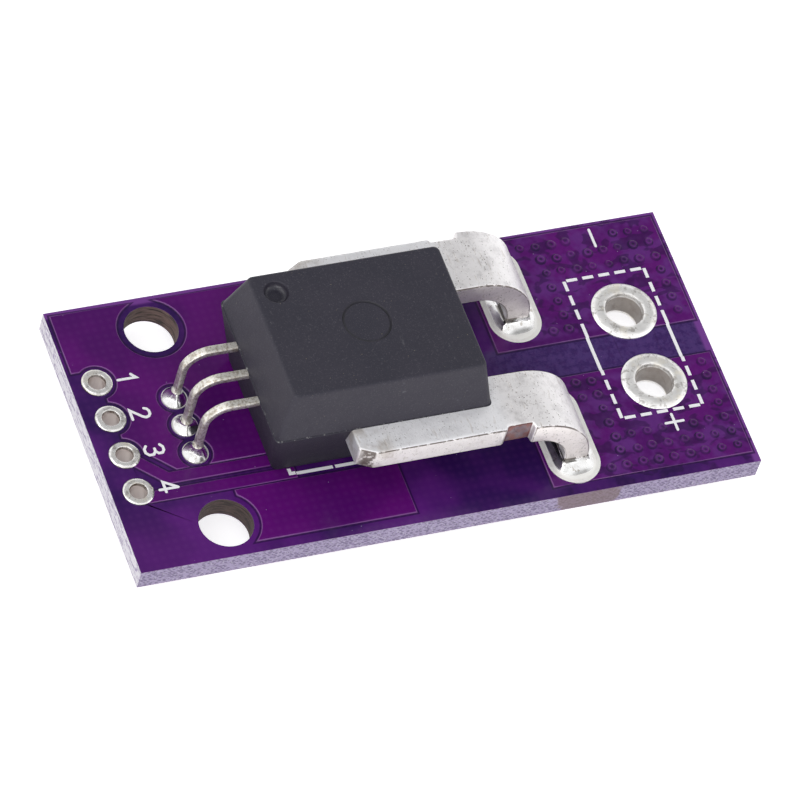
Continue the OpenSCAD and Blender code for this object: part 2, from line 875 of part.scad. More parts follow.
module terminal_solder(s) {
    color([0.86, 0.86, 0.87])
        difference() {
            translate([slot_x, s * term_y, 0]) {
                translate([0, 0, top_z]) terminal_fillet(fillet_h);
                translate([0, 0, under_z]) linear_extrude(board_t) stadium(slot_w, slot_run);
                translate([0, 0, under_z])
                    mirror([0, 0, 1]) terminal_fillet(under_z - tail_show);
            }
            primary_conductor();
        }
}

board_core();
mask_top();
mask_bottom();
legend_lines();
top_foil() pour_flat(-1);  // foil_top_plus
top_foil() pour_flat(1);  // foil_top_minus
top_foil() ground_flat();  // foil_top_ground
top_foil() front_flat();  // foil_top_front
top_foil() trace_flat(header_ys[2], trace_1_y);  // trace_out_1
top_foil() trace_flat(header_ys[3], trace_2_y);  // trace_out_2
bottom_foil() pour_flat(-1);  // foil_bottom_plus
bottom_foil() pour_flat(1);  // foil_bottom_minus
bottom_foil() bottom_ground_flat();  // foil_bottom_ground
bottom_foil() bottom_trace_flat();  // trace_bottom_out
for (i = [0:3])
    header_barrel(i);
for (i = [0:2])
    signal_barrel(i);
wire_barrel(-1);  // wire_barrel_plus
wire_barrel(1);  // wire_barrel_minus
slot_barrel(-1);  // slot_barrel_plus
slot_barrel(1);  // slot_barrel_minus
sensor_case();
primary_conductor();
flux_core();
hall_die();
for (i = [0:2])
    signal_lead(i);
for (i = [0:2])
    bond_wire(i);
for (i = [0:2])
    signal_solder(i);
terminal_solder(-1);  // terminal_solder_plus
terminal_solder(1);  // terminal_solder_minus
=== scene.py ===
# %% [markdown]
# # A current sensor module
# The module is a small purple board that carries one heavy moulded sensor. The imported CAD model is
# the fixed frame of this file: every size and place comes from it, in metres, and this script only
# gives the module its finish. What is already right stays a CAD node and gets a better material.
# What needs soft edges, solder or tiny bumps is built here over the node that it replaces.

# %% Load the frame
import math

import bmesh
import bpy
from mathutils import Matrix, Vector, noise


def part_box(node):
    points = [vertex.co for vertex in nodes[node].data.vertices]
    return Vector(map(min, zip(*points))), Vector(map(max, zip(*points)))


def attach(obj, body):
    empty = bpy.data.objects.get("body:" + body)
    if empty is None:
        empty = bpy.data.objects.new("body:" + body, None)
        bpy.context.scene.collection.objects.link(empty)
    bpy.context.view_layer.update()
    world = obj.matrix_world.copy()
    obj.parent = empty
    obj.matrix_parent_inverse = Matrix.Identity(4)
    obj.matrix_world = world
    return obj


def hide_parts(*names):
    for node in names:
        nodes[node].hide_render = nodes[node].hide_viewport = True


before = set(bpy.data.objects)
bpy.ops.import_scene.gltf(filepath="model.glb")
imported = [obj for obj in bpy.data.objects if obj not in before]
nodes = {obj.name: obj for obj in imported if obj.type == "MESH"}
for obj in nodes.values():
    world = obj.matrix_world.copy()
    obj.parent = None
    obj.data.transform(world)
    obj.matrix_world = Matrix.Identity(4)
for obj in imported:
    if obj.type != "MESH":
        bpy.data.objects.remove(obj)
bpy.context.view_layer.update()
MM = 0.001
print("CAD nodes:", len(nodes))

# %% [markdown]
# ## Levels and places
# A board is a sandwich, so its levels matter more than anything else here: the laminate, the foil
# on it, and the mask that lies lower over bare laminate and higher over foil. They are read from
# the boxes of the nodes, so that this file follows the CAD model when a size changes.

# %% Read the levels and places of the board
core_low, core_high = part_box("board_core")
mask_top_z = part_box("mask_top")[1].z
mask_low_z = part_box("mask_bottom")[0].z
foil_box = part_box("foil_top_plus")
foil_t = foil_box[1].z - foil_box[0].z
bare_z = mask_top_z - foil_t
middle_z = (core_low.z + core_high.z) / 2
HEADER = ["header_barrel_1", "header_barrel_2", "header_barrel_3", "header_barrel_4"]
SIGNALS = [1, 2, 3]
SIDES = ["plus", "minus"]


def centre(node):
    """The middle of a node's box."""
    low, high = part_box(node)
    return (low + high) / 2


def half_size(node):
    """Half the size of a node's box."""
    low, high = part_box(node)
    return (high - low) / 2


print("mask over foil at", round(mask_top_z / MM, 3), "mm, over bare laminate at", round(bare_z / MM, 3))

# %% [markdown]
# ## The camera
# The photograph was taken with a long lens from the front left, well above the board, and the
# camera was rolled a little. A target point, an azimuth, an elevation, a distance and a roll say
# that in five numbers, which is easier to change than a matrix.

# %% Place the camera
CAMERA_TARGET = Vector((-0.5555, -0.8231, mask_top_z / MM)) * MM
CAMERA_AZIMUTH = math.radians(-34.919)
CAMERA_ELEVATION = math.radians(52.677)
CAMERA_ROLL = math.radians(-19.119)
CAMERA_DISTANCE = 406.847 * MM
LENS = 320.361
SENSOR = 36.0


def direction(azimuth, elevation):
    """The unit vector from the object to a viewer at this azimuth and elevation."""
    flat = math.cos(elevation)
    return Vector((flat * math.sin(azimuth), -flat * math.cos(azimuth), math.sin(elevation)))


def look(place, target, roll=0.0):
    """A matrix that stands at place and looks at target, rolled about the line of sight."""
    ahead = (target - place).normalized()
    right = ahead.cross(Vector((0, 0, 1))).normalized()
    up = right.cross(ahead)
    up = math.cos(roll) * up + math.sin(roll) * right
    right = ahead.cross(up)
    matrix = Matrix((right, up, -ahead)).transposed().to_4x4()
    matrix.translation = place
    return matrix


camera_data = bpy.data.cameras.new("camera")
camera_data.lens = LENS
camera_data.sensor_width = SENSOR
camera_data.clip_start = 10 * MM
camera = bpy.data.objects.new("camera", camera_data)
bpy.context.scene.collection.objects.link(camera)
camera_place = CAMERA_TARGET + CAMERA_DISTANCE * direction(CAMERA_AZIMUTH, CAMERA_ELEVATION)
camera.matrix_world = look(camera_place, CAMERA_TARGET, CAMERA_ROLL)
bpy.context.scene.camera = camera
print("camera at", [round(value / MM, 1) for value in camera_place], "mm")

# %% [markdown]
# ## Light, floor and background
# A product shot on white needs large soft lamps: their size is what makes the solder shine without
# hard spots. The world is dim for the light that falls on the module but white for the camera, and
# the floor adds the same white for camera rays, so that it keeps a faint shadow and still ends in
# the background without a line. Reflections see a white tent with a few dark places in it. One
# hangs where the flat mask mirrors the camera, so that the purple stays deep, while every ridge
# and bump still finds the white. The others are the slit for the camera and the open side of the
# tent, and they give the solder its dark streaks.

# %% Set the view and the world
scene = bpy.context.scene
scene.view_settings.view_transform = "Standard"
WORLD_LIGHT = 0.50
WORLD_GLOSS = 1.05
CARDS = [
    (CAMERA_AZIMUTH + math.pi, CAMERA_ELEVATION, 16, 32, 0.36),
    (CAMERA_AZIMUTH, CAMERA_ELEVATION, 8, 20, 0.10),
    (CAMERA_AZIMUTH + math.radians(75), math.radians(12), 10, 22, 0.15),
]


def add_node(tree, kind, **settings):
    """A new node of this kind with its plain settings."""
    made = tree.nodes.new(kind)
    for name, value in settings.items():
        setattr(made, name, value)
    return made


def join(tree, socket, value):
    """Feed a socket: a link from another socket, or a number or colour of its own."""
    if isinstance(value, bpy.types.NodeSocket):
        tree.links.new(value, socket)
    else:
        socket.default_value = value


def shade(colour, alpha=1.0):
    """A colour with its alpha."""
    return (*colour, alpha)


world = bpy.data.worlds.new("studio")
world.use_nodes = True
scene.world = world
sky = world.node_tree
background = sky.nodes["Background"]
background.inputs["Color"].default_value = (1, 1, 1, 1)
rays = add_node(sky, "ShaderNodeLightPath")
toward = add_node(sky, "ShaderNodeTexCoord")
mirrored = WORLD_GLOSS
for card_azimuth, card_elevation, inner, outer, seen_as in CARDS:
    card = add_node(sky, "ShaderNodeVectorMath", operation="DOT_PRODUCT")
    join(sky, card.inputs[0], toward.outputs["Generated"])
    join(sky, card.inputs[1], direction(card_azimuth, card_elevation))
    tent = add_node(sky, "ShaderNodeMapRange", interpolation_type="SMOOTHSTEP")
    join(sky, tent.inputs[0], card.outputs["Value"])
    tent.inputs[1].default_value = math.cos(math.radians(outer))
    tent.inputs[2].default_value = math.cos(math.radians(inner))
    join(sky, tent.inputs[3], mirrored)
    tent.inputs[4].default_value = seen_as
    mirrored = tent.outputs[0]
above_light = add_node(sky, "ShaderNodeMath", operation="SUBTRACT")
join(sky, above_light.inputs[0], mirrored)
join(sky, above_light.inputs[1], WORLD_LIGHT)
gloss = add_node(sky, "ShaderNodeMath", operation="MULTIPLY")
join(sky, gloss.inputs[0], rays.outputs["Is Glossy Ray"])
join(sky, gloss.inputs[1], above_light.outputs[0])
seen = add_node(sky, "ShaderNodeMath", operation="MAXIMUM")
join(sky, seen.inputs[0], rays.outputs["Is Camera Ray"])
join(sky, seen.inputs[1], rays.outputs["Is Transmission Ray"])
white = add_node(sky, "ShaderNodeMath", operation="MULTIPLY_ADD")
join(sky, white.inputs[0], seen.outputs[0])
join(sky, white.inputs[1], 1.0 - WORLD_LIGHT)
join(sky, white.inputs[2], WORLD_LIGHT)
total = add_node(sky, "ShaderNodeMath", operation="ADD")
join(sky, total.inputs[0], white.outputs[0])
join(sky, total.inputs[1], gloss.outputs[0])
join(sky, background.inputs["Strength"], total.outputs[0])
print("world light", WORLD_LIGHT, "and", WORLD_GLOSS, "in reflections")

# %% Hang the lamps
LAMPS = [
    ("key_lamp", -35, 38, 0.50, 0.34, 1.00),
    ("top_lamp", -100, 60, 0.50, 0.30, 0.45),
    ("fill_lamp", 60, 30, 0.60, 0.40, 0.40),
]
for lamp_name, azimuth, elevation, distance, side, watts in LAMPS:
    lamp_data = bpy.data.lights.new(lamp_name, "AREA")
    lamp_data.shape = "SQUARE"
    lamp_data.size = side
    lamp_data.energy = watts
    lamp = bpy.data.objects.new(lamp_name, lamp_data)
    scene.collection.objects.link(lamp)
    lamp_place = distance * direction(math.radians(azimuth), math.radians(elevation))
    lamp.matrix_world = look(lamp_place, Vector((0, 0, 0)))
print("lamps:", [lamp[0] for lamp in LAMPS])

# %% Lay the floor
FLOOR_SIDE = 3.0
FLOOR_PAINT = (0.74, 0.74, 0.74)
FLOOR_GLOW = 0.74
floor_mesh = bpy.data.meshes.new("floor")
corner = FLOOR_SIDE / 2
floor_mesh.from_pydata(
    [(-corner, -corner, 0), (corner, -corner, 0), (corner, corner, 0), (-corner, corner, 0)],
    [],
    [(0, 1, 2, 3)],
)
floor = bpy.data.objects.new("floor", floor_mesh)
scene.collection.objects.link(floor)
floor_material = bpy.data.materials.new("white_floor")
floor_material.use_nodes = True
floor_tree = floor_material.node_tree
floor_shader = floor_tree.nodes["Principled BSDF"]
floor_shader.inputs["Base Color"].default_value = shade(FLOOR_PAINT)
floor_shader.inputs["Roughness"].default_value = 0.9
floor_shader.inputs["Specular IOR Level"].default_value = 0.0
floor_shader.inputs["Emission Color"].default_value = (1, 1, 1, 1)
floor_rays = add_node(floor_tree, "ShaderNodeLightPath")
floor_seen = add_node(floor_tree, "ShaderNodeMath", operation="MAXIMUM")
join(floor_tree, floor_seen.inputs[0], floor_rays.outputs["Is Camera Ray"])
join(floor_tree, floor_seen.inputs[1], floor_rays.outputs["Is Glossy Ray"])
floor_glow = add_node(floor_tree, "ShaderNodeMath", operation="MULTIPLY")
join(floor_tree, floor_glow.inputs[0], floor_seen.outputs[0])
join(floor_tree, floor_glow.inputs[1], FLOOR_GLOW)
join(floor_tree, floor_shader.inputs["Emission Strength"], floor_glow.outputs[0])
floor_mesh.materials.append(floor_material)
print("floor", FLOOR_SIDE, "m wide")

# %% [markdown]
# ## A small kit for finishes
# Each finish below is a node tree that starts from Object coordinates. A node's object sits at the
# origin, so those are real places on the module, and they are turned into millimetres first: then
# a noise scale of 4 means four spots to the millimetre. One small class keeps the wiring short.

# %% Write the finish kit


class Finish:
    """A material under construction, with short calls for the nodes that this file uses."""

    def __init__(self, name, metallic=0.0, roughness=0.5):
        self.material = bpy.data.materials.new(name)
        self.material.use_nodes = True
        self.tree = self.material.node_tree
        self.shader = self.tree.nodes["Principled BSDF"]
        self.shader.inputs["Metallic"].default_value = metallic
        self.shader.inputs["Roughness"].default_value = roughness
        coordinates = add_node(self.tree, "ShaderNodeTexCoord")
        scale = add_node(self.tree, "ShaderNodeVectorMath", operation="SCALE")
        join(self.tree, scale.inputs[0], coordinates.outputs["Object"])
        scale.inputs["Scale"].default_value = 1 / MM
        self.place = scale.outputs[0]
        parts = add_node(self.tree, "ShaderNodeSeparateXYZ")
        join(self.tree, parts.inputs[0], self.place)
        self.x, self.y, self.z = parts.outputs
        shape = add_node(self.tree, "ShaderNodeNewGeometry")
        facing = add_node(self.tree, "ShaderNodeSeparateXYZ")
        join(self.tree, facing.inputs[0], shape.outputs["Normal"])
        self.facing_x, self.facing_y, self.facing_z = facing.outputs

    def stretch(self, factors, turn=(0, 0, 0)):
        """The place, stretched along the axes after a turn in degrees."""
        mapping = add_node(self.tree, "ShaderNodeMapping", vector_type="POINT")
        join(self.tree, mapping.inputs["Vector"], self.place)
        mapping.inputs["Rotation"].default_value = [math.radians(angle) for angle in turn]
        mapping.inputs["Scale"].default_value = factors
        return mapping.outputs[0]

    def cloud(self, scale, detail=3.0, rough=0.55, swirl=0.0, place=None):
        """Soft noise, scale spots to the millimetre."""
        made = add_node(self.tree, "ShaderNodeTexNoise")
        join(self.tree, made.inputs["Vector"], place or self.place)
        made.inputs["Scale"].default_value = scale
        made.inputs["Detail"].default_value = detail
        made.inputs["Roughness"].default_value = rough
        made.inputs["Distortion"].default_value = swirl
        return made.outputs[0]

    def dots(self, scale, place=None, feature="F1", random=1.0):
        """Distance to scattered points, scale of them to the millimetre."""
        made = add_node(self.tree, "ShaderNodeTexVoronoi", feature=feature)
        join(self.tree, made.inputs["Vector"], place or self.place)
        made.inputs["Scale"].default_value = scale
        made.inputs["Randomness"].default_value = random
        return made.outputs[0]

    def waves(self, scale, along="X", place=None, wobble=0.0):
        """Bands across an axis, scale of them to the millimetre."""
        made = add_node(self.tree, "ShaderNodeTexWave", bands_direction=along)
        join(self.tree, made.inputs["Vector"], place or self.place)
        made.inputs["Scale"].default_value = scale
        made.inputs["Distortion"].default_value = wobble
        made.inputs["Detail"].default_value = 2.0
        return made.outputs[1]

    def sum(self, operation, first, second=0.0):
        """One step of arithmetic."""
        made = add_node(self.tree, "ShaderNodeMath", operation=operation)
        join(self.tree, made.inputs[0], first)
        join(self.tree, made.inputs[1], second)
        return made.outputs[0]

    def step(self, value, low, high):
        """0 below low, 1 above high, and smooth between them. Low may be above high."""
        made = add_node(self.tree, "ShaderNodeMapRange", interpolation_type="SMOOTHSTEP")
        join(self.tree, made.inputs[0], value)
        made.inputs[1].default_value = min(low, high)
        made.inputs[2].default_value = max(low, high)
        made.inputs[3].default_value = 0.0 if low < high else 1.0
        made.inputs[4].default_value = 1.0 if low < high else 0.0
        return made.outputs[0]

    def span(self, value, low, high):
        """A value from 0 to 1, spread over low to high."""
        made = add_node(self.tree, "ShaderNodeMapRange")
        join(self.tree, made.inputs[0], value)
        made.inputs[3].default_value = low
        made.inputs[4].default_value = high
        return made.outputs[0]

    def mix(self, share, first, second, blend="MIX"):
        """Two colours, with this share of the second."""
        made = add_node(self.tree, "ShaderNodeMix", data_type="RGBA", blend_type=blend)
        join(self.tree, made.inputs[0], share)
        join(self.tree, made.inputs[6], shade(first) if isinstance(first, tuple) else first)
        join(self.tree, made.inputs[7], shade(second) if isinstance(second, tuple) else second)
        return made.outputs[2]

    def within(self, value, middle, reach, soft):
        """1 where value is within reach of middle, with a soft edge."""
        distance = self.sum("ABSOLUTE", self.sum("SUBTRACT", value, middle))
        return self.step(distance, reach + soft, reach)

    def distance(self, point):
        """Distance on the board from an upright line through this point."""
        aside_x = self.sum("SUBTRACT", self.x, point.x / MM)
        aside_y = self.sum("SUBTRACT", self.y, point.y / MM)
        return self.sum("SQRT", self.sum("ADD", self.sum("POWER", aside_x, 2.0), self.sum("POWER", aside_y, 2.0)))

    def relief(self, height, depth, normal=None):
        """A bump of this depth in millimetres, on top of an earlier one."""
        made = add_node(self.tree, "ShaderNodeBump")
        made.inputs["Distance"].default_value = depth * MM
        join(self.tree, made.inputs["Height"], height)
        if normal is not None:
            join(self.tree, made.inputs["Normal"], normal)
        return made.outputs[0]

    def wear(self, **sockets):
        """Feed the shader's own sockets and hand the material over."""
        for name, value in sockets.items():
            join(self.tree, self.shader.inputs[name.replace("_", " ")], value)
        return self.material


print("finish kit ready")

# %% [markdown]
# ## Solder mask
# Purple mask is a clear glossy lacquer with dye in it. Over foil it glows magenta, because the
# copper throws the light back, and over bare laminate it looks blue. One material does both: the
# height over the middle of the board says what lies below. Where it climbs over an edge of the
# foil the lacquer is thinner and paler, and that shoulder also gets a painted highlight. The foot
# of each edge and the ring round each via get painted shade, and the crest of each via a painted
# highlight. Between the vias of the two power fields it has run into darker puddles.

# %% Make the solder mask finish
MASK_OVER_FOIL = (0.104, 0.004, 0.152)
MASK_OVER_FOIL_DARK = (0.070, 0.003, 0.118)
MASK_OVER_BARE = (0.090, 0.011, 0.170)
MASK_OVER_BARE_DARK = (0.026, 0.005, 0.080)
MASK_BORDER = (0.185, 0.052, 0.290)
MASK_CORNER = (0.115, 0.013, 0.190)
MASK_FIELD_PALE = (0.112, 0.024, 0.195)
MASK_GAP = (0.064, 0.030, 0.150)
MASK_PALE_AND_HIGHLIGHT = (0.230, 0.070, 0.290)
MASK_POOL_AND_SHADE = (0.018, 0.004, 0.045)
MASK_CREST_HIGHLIGHT = (0.125, 0.030, 0.180)
POWER_FIELD_X = foil_box[0].x / MM
raised = (mask_top_z - middle_z) / MM
sunk = (bare_z - middle_z) / MM


def make_mask_finish():
    finish = Finish("solder_mask_purple", roughness=0.24)
    height = finish.sum("ABSOLUTE", finish.sum("SUBTRACT", finish.z, middle_z / MM))
    over_foil = finish.step(height, sunk + 0.6 * (raised - sunk), raised - 0.002)
    # Sloped faces: the thin pale lacquer on each shoulder, which also gets a painted highlight
    highlight_slope = finish.step(finish.sum("ABSOLUTE", finish.facing_z), 0.985, 0.86)
    drift = finish.cloud(0.22, detail=2.0)
    foil_colour = finish.mix(finish.step(drift, 0.35, 0.68), MASK_OVER_FOIL, MASK_OVER_FOIL_DARK)
    bare_colour = finish.mix(finish.step(drift, 0.30, 0.65), MASK_OVER_BARE, MASK_OVER_BARE_DARK)

    # The bare gap between the two power fields looks grey and clouded
    gap = finish.sum(
        "MULTIPLY",
        finish.step(finish.x, POWER_FIELD_X - 2.4, POWER_FIELD_X),
        finish.within(finish.y, 0.0, 1.2, 0.4),
    )
    smoke = finish.step(finish.cloud(2.4, detail=5.0, rough=0.7), 0.42, 0.62)
    gap_colour = finish.mix(finish.sum("MULTIPLY", smoke, 0.6), MASK_GAP, MASK_OVER_BARE_DARK)
    bare_colour = finish.mix(gap, bare_colour, gap_colour)
    end_strip = finish.step(finish.x, core_high.x / MM - 0.55, core_high.x / MM - 0.30)
    rear_strip = finish.step(finish.y, core_high.y / MM - 0.55, core_high.y / MM - 0.30)
    border = finish.sum("MAXIMUM", end_strip, rear_strip)
    bare_colour = finish.mix(finish.sum("MULTIPLY", border, 0.9), bare_colour, MASK_BORDER)
    corner = finish.sum("MULTIPLY", finish.step(finish.x, -12.0, -17.5), finish.step(finish.y, -3.0, -8.0))
    bare_colour = finish.mix(finish.sum("MULTIPLY", corner, 0.50), bare_colour, MASK_CORNER)
    colour = finish.mix(over_foil, bare_colour, foil_colour)

    # Puddles between the vias of the power fields
    puddles = finish.cloud(1.15, detail=1.5, swirl=0.6, place=finish.stretch((0.8, 1.25, 1), turn=(0, 0, 30)))
    field = finish.sum(
        "MULTIPLY",
        finish.step(finish.x, POWER_FIELD_X, POWER_FIELD_X + 1.0),
        finish.step(finish.sum("ABSOLUTE", finish.y), 1.3, 1.8),
    )
    pale = finish.sum("MULTIPLY", finish.step(finish.cloud(0.7, detail=3.0), 0.42, 0.62), field)
    colour = finish.mix(finish.sum("MULTIPLY", pale, finish.sum("MULTIPLY", over_foil, 0.8)), colour, MASK_FIELD_PALE)
    wet = finish.sum("MULTIPLY", finish.step(puddles, 0.52, 0.60), field)
    colour = finish.mix(finish.sum("MULTIPLY", wet, 0.56), colour, MASK_POOL_AND_SHADE)

    # Painted shade at the foot of each edge and round each via, where the lacquer also pools, and a painted highlight
    # on the thin pale shoulder
    foot_shade = finish.sum(
        "MULTIPLY",
        finish.step(height, sunk + 0.0005, sunk + 0.006),
        finish.step(height, sunk + 0.034, sunk + 0.016),
    )
    # Painted shade in a ring round the foot of each via, where lacquer also pools
    ring = finish.sum(
        "MULTIPLY",
        finish.step(height, raised + 0.0005, raised + 0.008),
        finish.step(height, raised + 0.040, raised + 0.016),
    )
    colour = finish.mix(finish.sum("MULTIPLY", highlight_slope, 0.75), colour, MASK_PALE_AND_HIGHLIGHT)
    # Painted shade along the foot of each edge
    colour = finish.mix(finish.sum("MULTIPLY", foot_shade, 0.75), colour, MASK_POOL_AND_SHADE)
    some = finish.step(finish.cloud(0.9, detail=2.0), 0.34, 0.60)
    colour = finish.mix(finish.sum("MULTIPLY", ring, finish.span(some, 0.35, 0.90)), colour, MASK_POOL_AND_SHADE)
    # Painted highlight on the crest of each via
    crest_highlight = finish.step(height, raised + 0.034, raised + 0.046)
    colour = finish.mix(finish.sum("MULTIPLY", crest_highlight, 0.30), colour, MASK_CREST_HIGHLIGHT)

    # The glass cloth shows faintly, and there is always some dust
    weave = finish.sum(
        "MULTIPLY",
        finish.waves(0.62, "X", wobble=0.4),
        finish.waves(0.62, "Y", wobble=0.4),
    )
    colour = finish.mix(finish.sum("MULTIPLY", weave, 0.05), colour, MASK_PALE_AND_HIGHLIGHT)
    dust = finish.step(finish.dots(1.3), 0.045, 0.02)
    colour = finish.mix(finish.sum("MULTIPLY", dust, 0.40), colour, (0.55, 0.50, 0.66))
    normal = finish.relief(finish.cloud(1.6, detail=3.0), 0.008)
    normal = finish.relief(wet, 0.004, normal)
    normal = finish.relief(finish.cloud(14.0, detail=2.0), 0.0010, normal)
    sheen = finish.span(finish.cloud(0.9), 0.12, 0.26)
    finish.shader.inputs["Specular IOR Level"].default_value = 0.21
    return finish.wear(Base_Color=colour, Roughness=sheen, Normal=normal)


mask_finish = make_mask_finish()
print("made", mask_finish.name)

# %% [markdown]
# ## Laminate
# The laminate only shows at the cut edges and in the holes. Cut along the cloth it is a pale
# lavender with the grey ends of glass bundles, and cut across it shows the layers as thin lines.
# The drilled walls are scorched brown with fine rings, and those in the front half of the board get painted shade.

# %% Make the laminate finish
EDGE_PALE = (0.43, 0.36, 0.55)
EDGE_GREY = (0.20, 0.16, 0.28)
EDGE_WHITE = (0.60, 0.56, 0.68)
LAYER_WHITE = (0.88, 0.85, 0.92)
LAYER_GREY = (0.46, 0.40, 0.55)
HOLE_BROWN = (0.19, 0.125, 0.11)
HOLE_DARK = (0.030, 0.020, 0.019)


def make_laminate_finish():
    finish = Finish("glass_laminate", roughness=0.72)
    slant = finish.stretch((1.0, 1.0, 1.6), turn=(0, 32, 0))
    bundles = finish.dots(4.2, place=slant, random=0.55)
    fibres = finish.cloud(11.0, detail=2.0)
    front = finish.mix(finish.step(bundles, 0.30, 0.62), EDGE_GREY, EDGE_PALE)
    front = finish.mix(finish.step(fibres, 0.54, 0.72), front, EDGE_WHITE)
    layers = finish.cloud(7.5, detail=3.0, rough=0.7, place=finish.stretch((0.22, 0.22, 1.0)))
    end = finish.mix(finish.step(layers, 0.52, 0.60), LAYER_WHITE, LAYER_GREY)
    chips = finish.cloud(4.0, detail=3.0, place=finish.stretch((1.0, 0.4, 1.0)))
    end = finish.mix(finish.step(chips, 0.62, 0.70), end, EDGE_PALE)
    is_end = finish.step(finish.sum("ABSOLUTE", finish.facing_x), 0.6, 0.8)
    edge = finish.mix(is_end, front, end)
    stain = finish.sum(
        "MULTIPLY",
        finish.within(finish.sum("ADD", finish.x, finish.span(finish.cloud(0.8, detail=3.0), -1.2, 1.2)), 8.3, 1.7, 0.3),
        finish.step(finish.y, core_low.y / MM + 0.3, core_low.y / MM + 0.1),
    )
    edge = finish.mix(finish.sum("MULTIPLY", stain, 0.75), edge, (0.21, 0.145, 0.14))
    inside_x = finish.step(finish.sum("ABSOLUTE", finish.x), core_high.x / MM - 0.02, core_high.x / MM - 0.06)
    inside_y = finish.step(finish.sum("ABSOLUTE", finish.y), core_high.y / MM - 0.02, core_high.y / MM - 0.06)
    in_hole = finish.sum("MULTIPLY", inside_x, inside_y)
    rings = finish.cloud(9.0, detail=3.0, place=finish.stretch((0.12, 0.12, 1.0)))
    hole = finish.mix(finish.step(rings, 0.40, 0.66), HOLE_BROWN, HOLE_DARK)
    # Painted shade: the hole walls in the front half of the board are darker
    hole = finish.mix(finish.span(finish.step(finish.y, 0.5, -0.5), 0.0, 0.6), hole, HOLE_DARK)
    colour = finish.mix(in_hole, edge, hole)
    normal = finish.relief(finish.cloud(8.0, detail=4.0), 0.03)
    return finish.wear(Base_Color=colour, Normal=normal)


laminate_finish = make_laminate_finish()
print("made", laminate_finish.name)

# %% [markdown]
# ## Metals
# Four metals show on the module, and they differ more in their skin than in their colour. The
# terminals have a matt plate with pits and grey scuffs, the leads the same plate drawn to fine
# lines, the lands a thin uneven coat of tin, and the solder has set like a mirror. Cut ends of the
# terminals show red copper.

# %% Make the metal finishes
PLATE = (0.92, 0.90, 0.91)
PLATE_GREY = (0.74, 0.72, 0.73)
PLATE_STAIN = (0.46, 0.40, 0.34)
PLATE_WHITE = (0.93, 0.94, 0.98)
PLATE_DARK = (0.10, 0.085, 0.07)
EDGE_BROWN = (0.065, 0.040, 0.030)
RAW_COPPER = (0.17, 0.042, 0.034)
RAW_DULL = (0.16, 0.105, 0.125)
TIN = (0.93, 0.92, 0.91)
TIN_GREY = (0.52, 0.50, 0.48)
TIN_YELLOW = (0.90, 0.86, 0.78)
CREAM = (0.96, 0.95, 0.92)
WALL_PAINTED_LIGHT = (0.72, 0.64, 0.61)
LIP_SHADE = (0.20, 0.16, 0.13)
HEADER_EDGE_X = -16.0 * MM
conductor_low, conductor_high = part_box("primary_conductor")


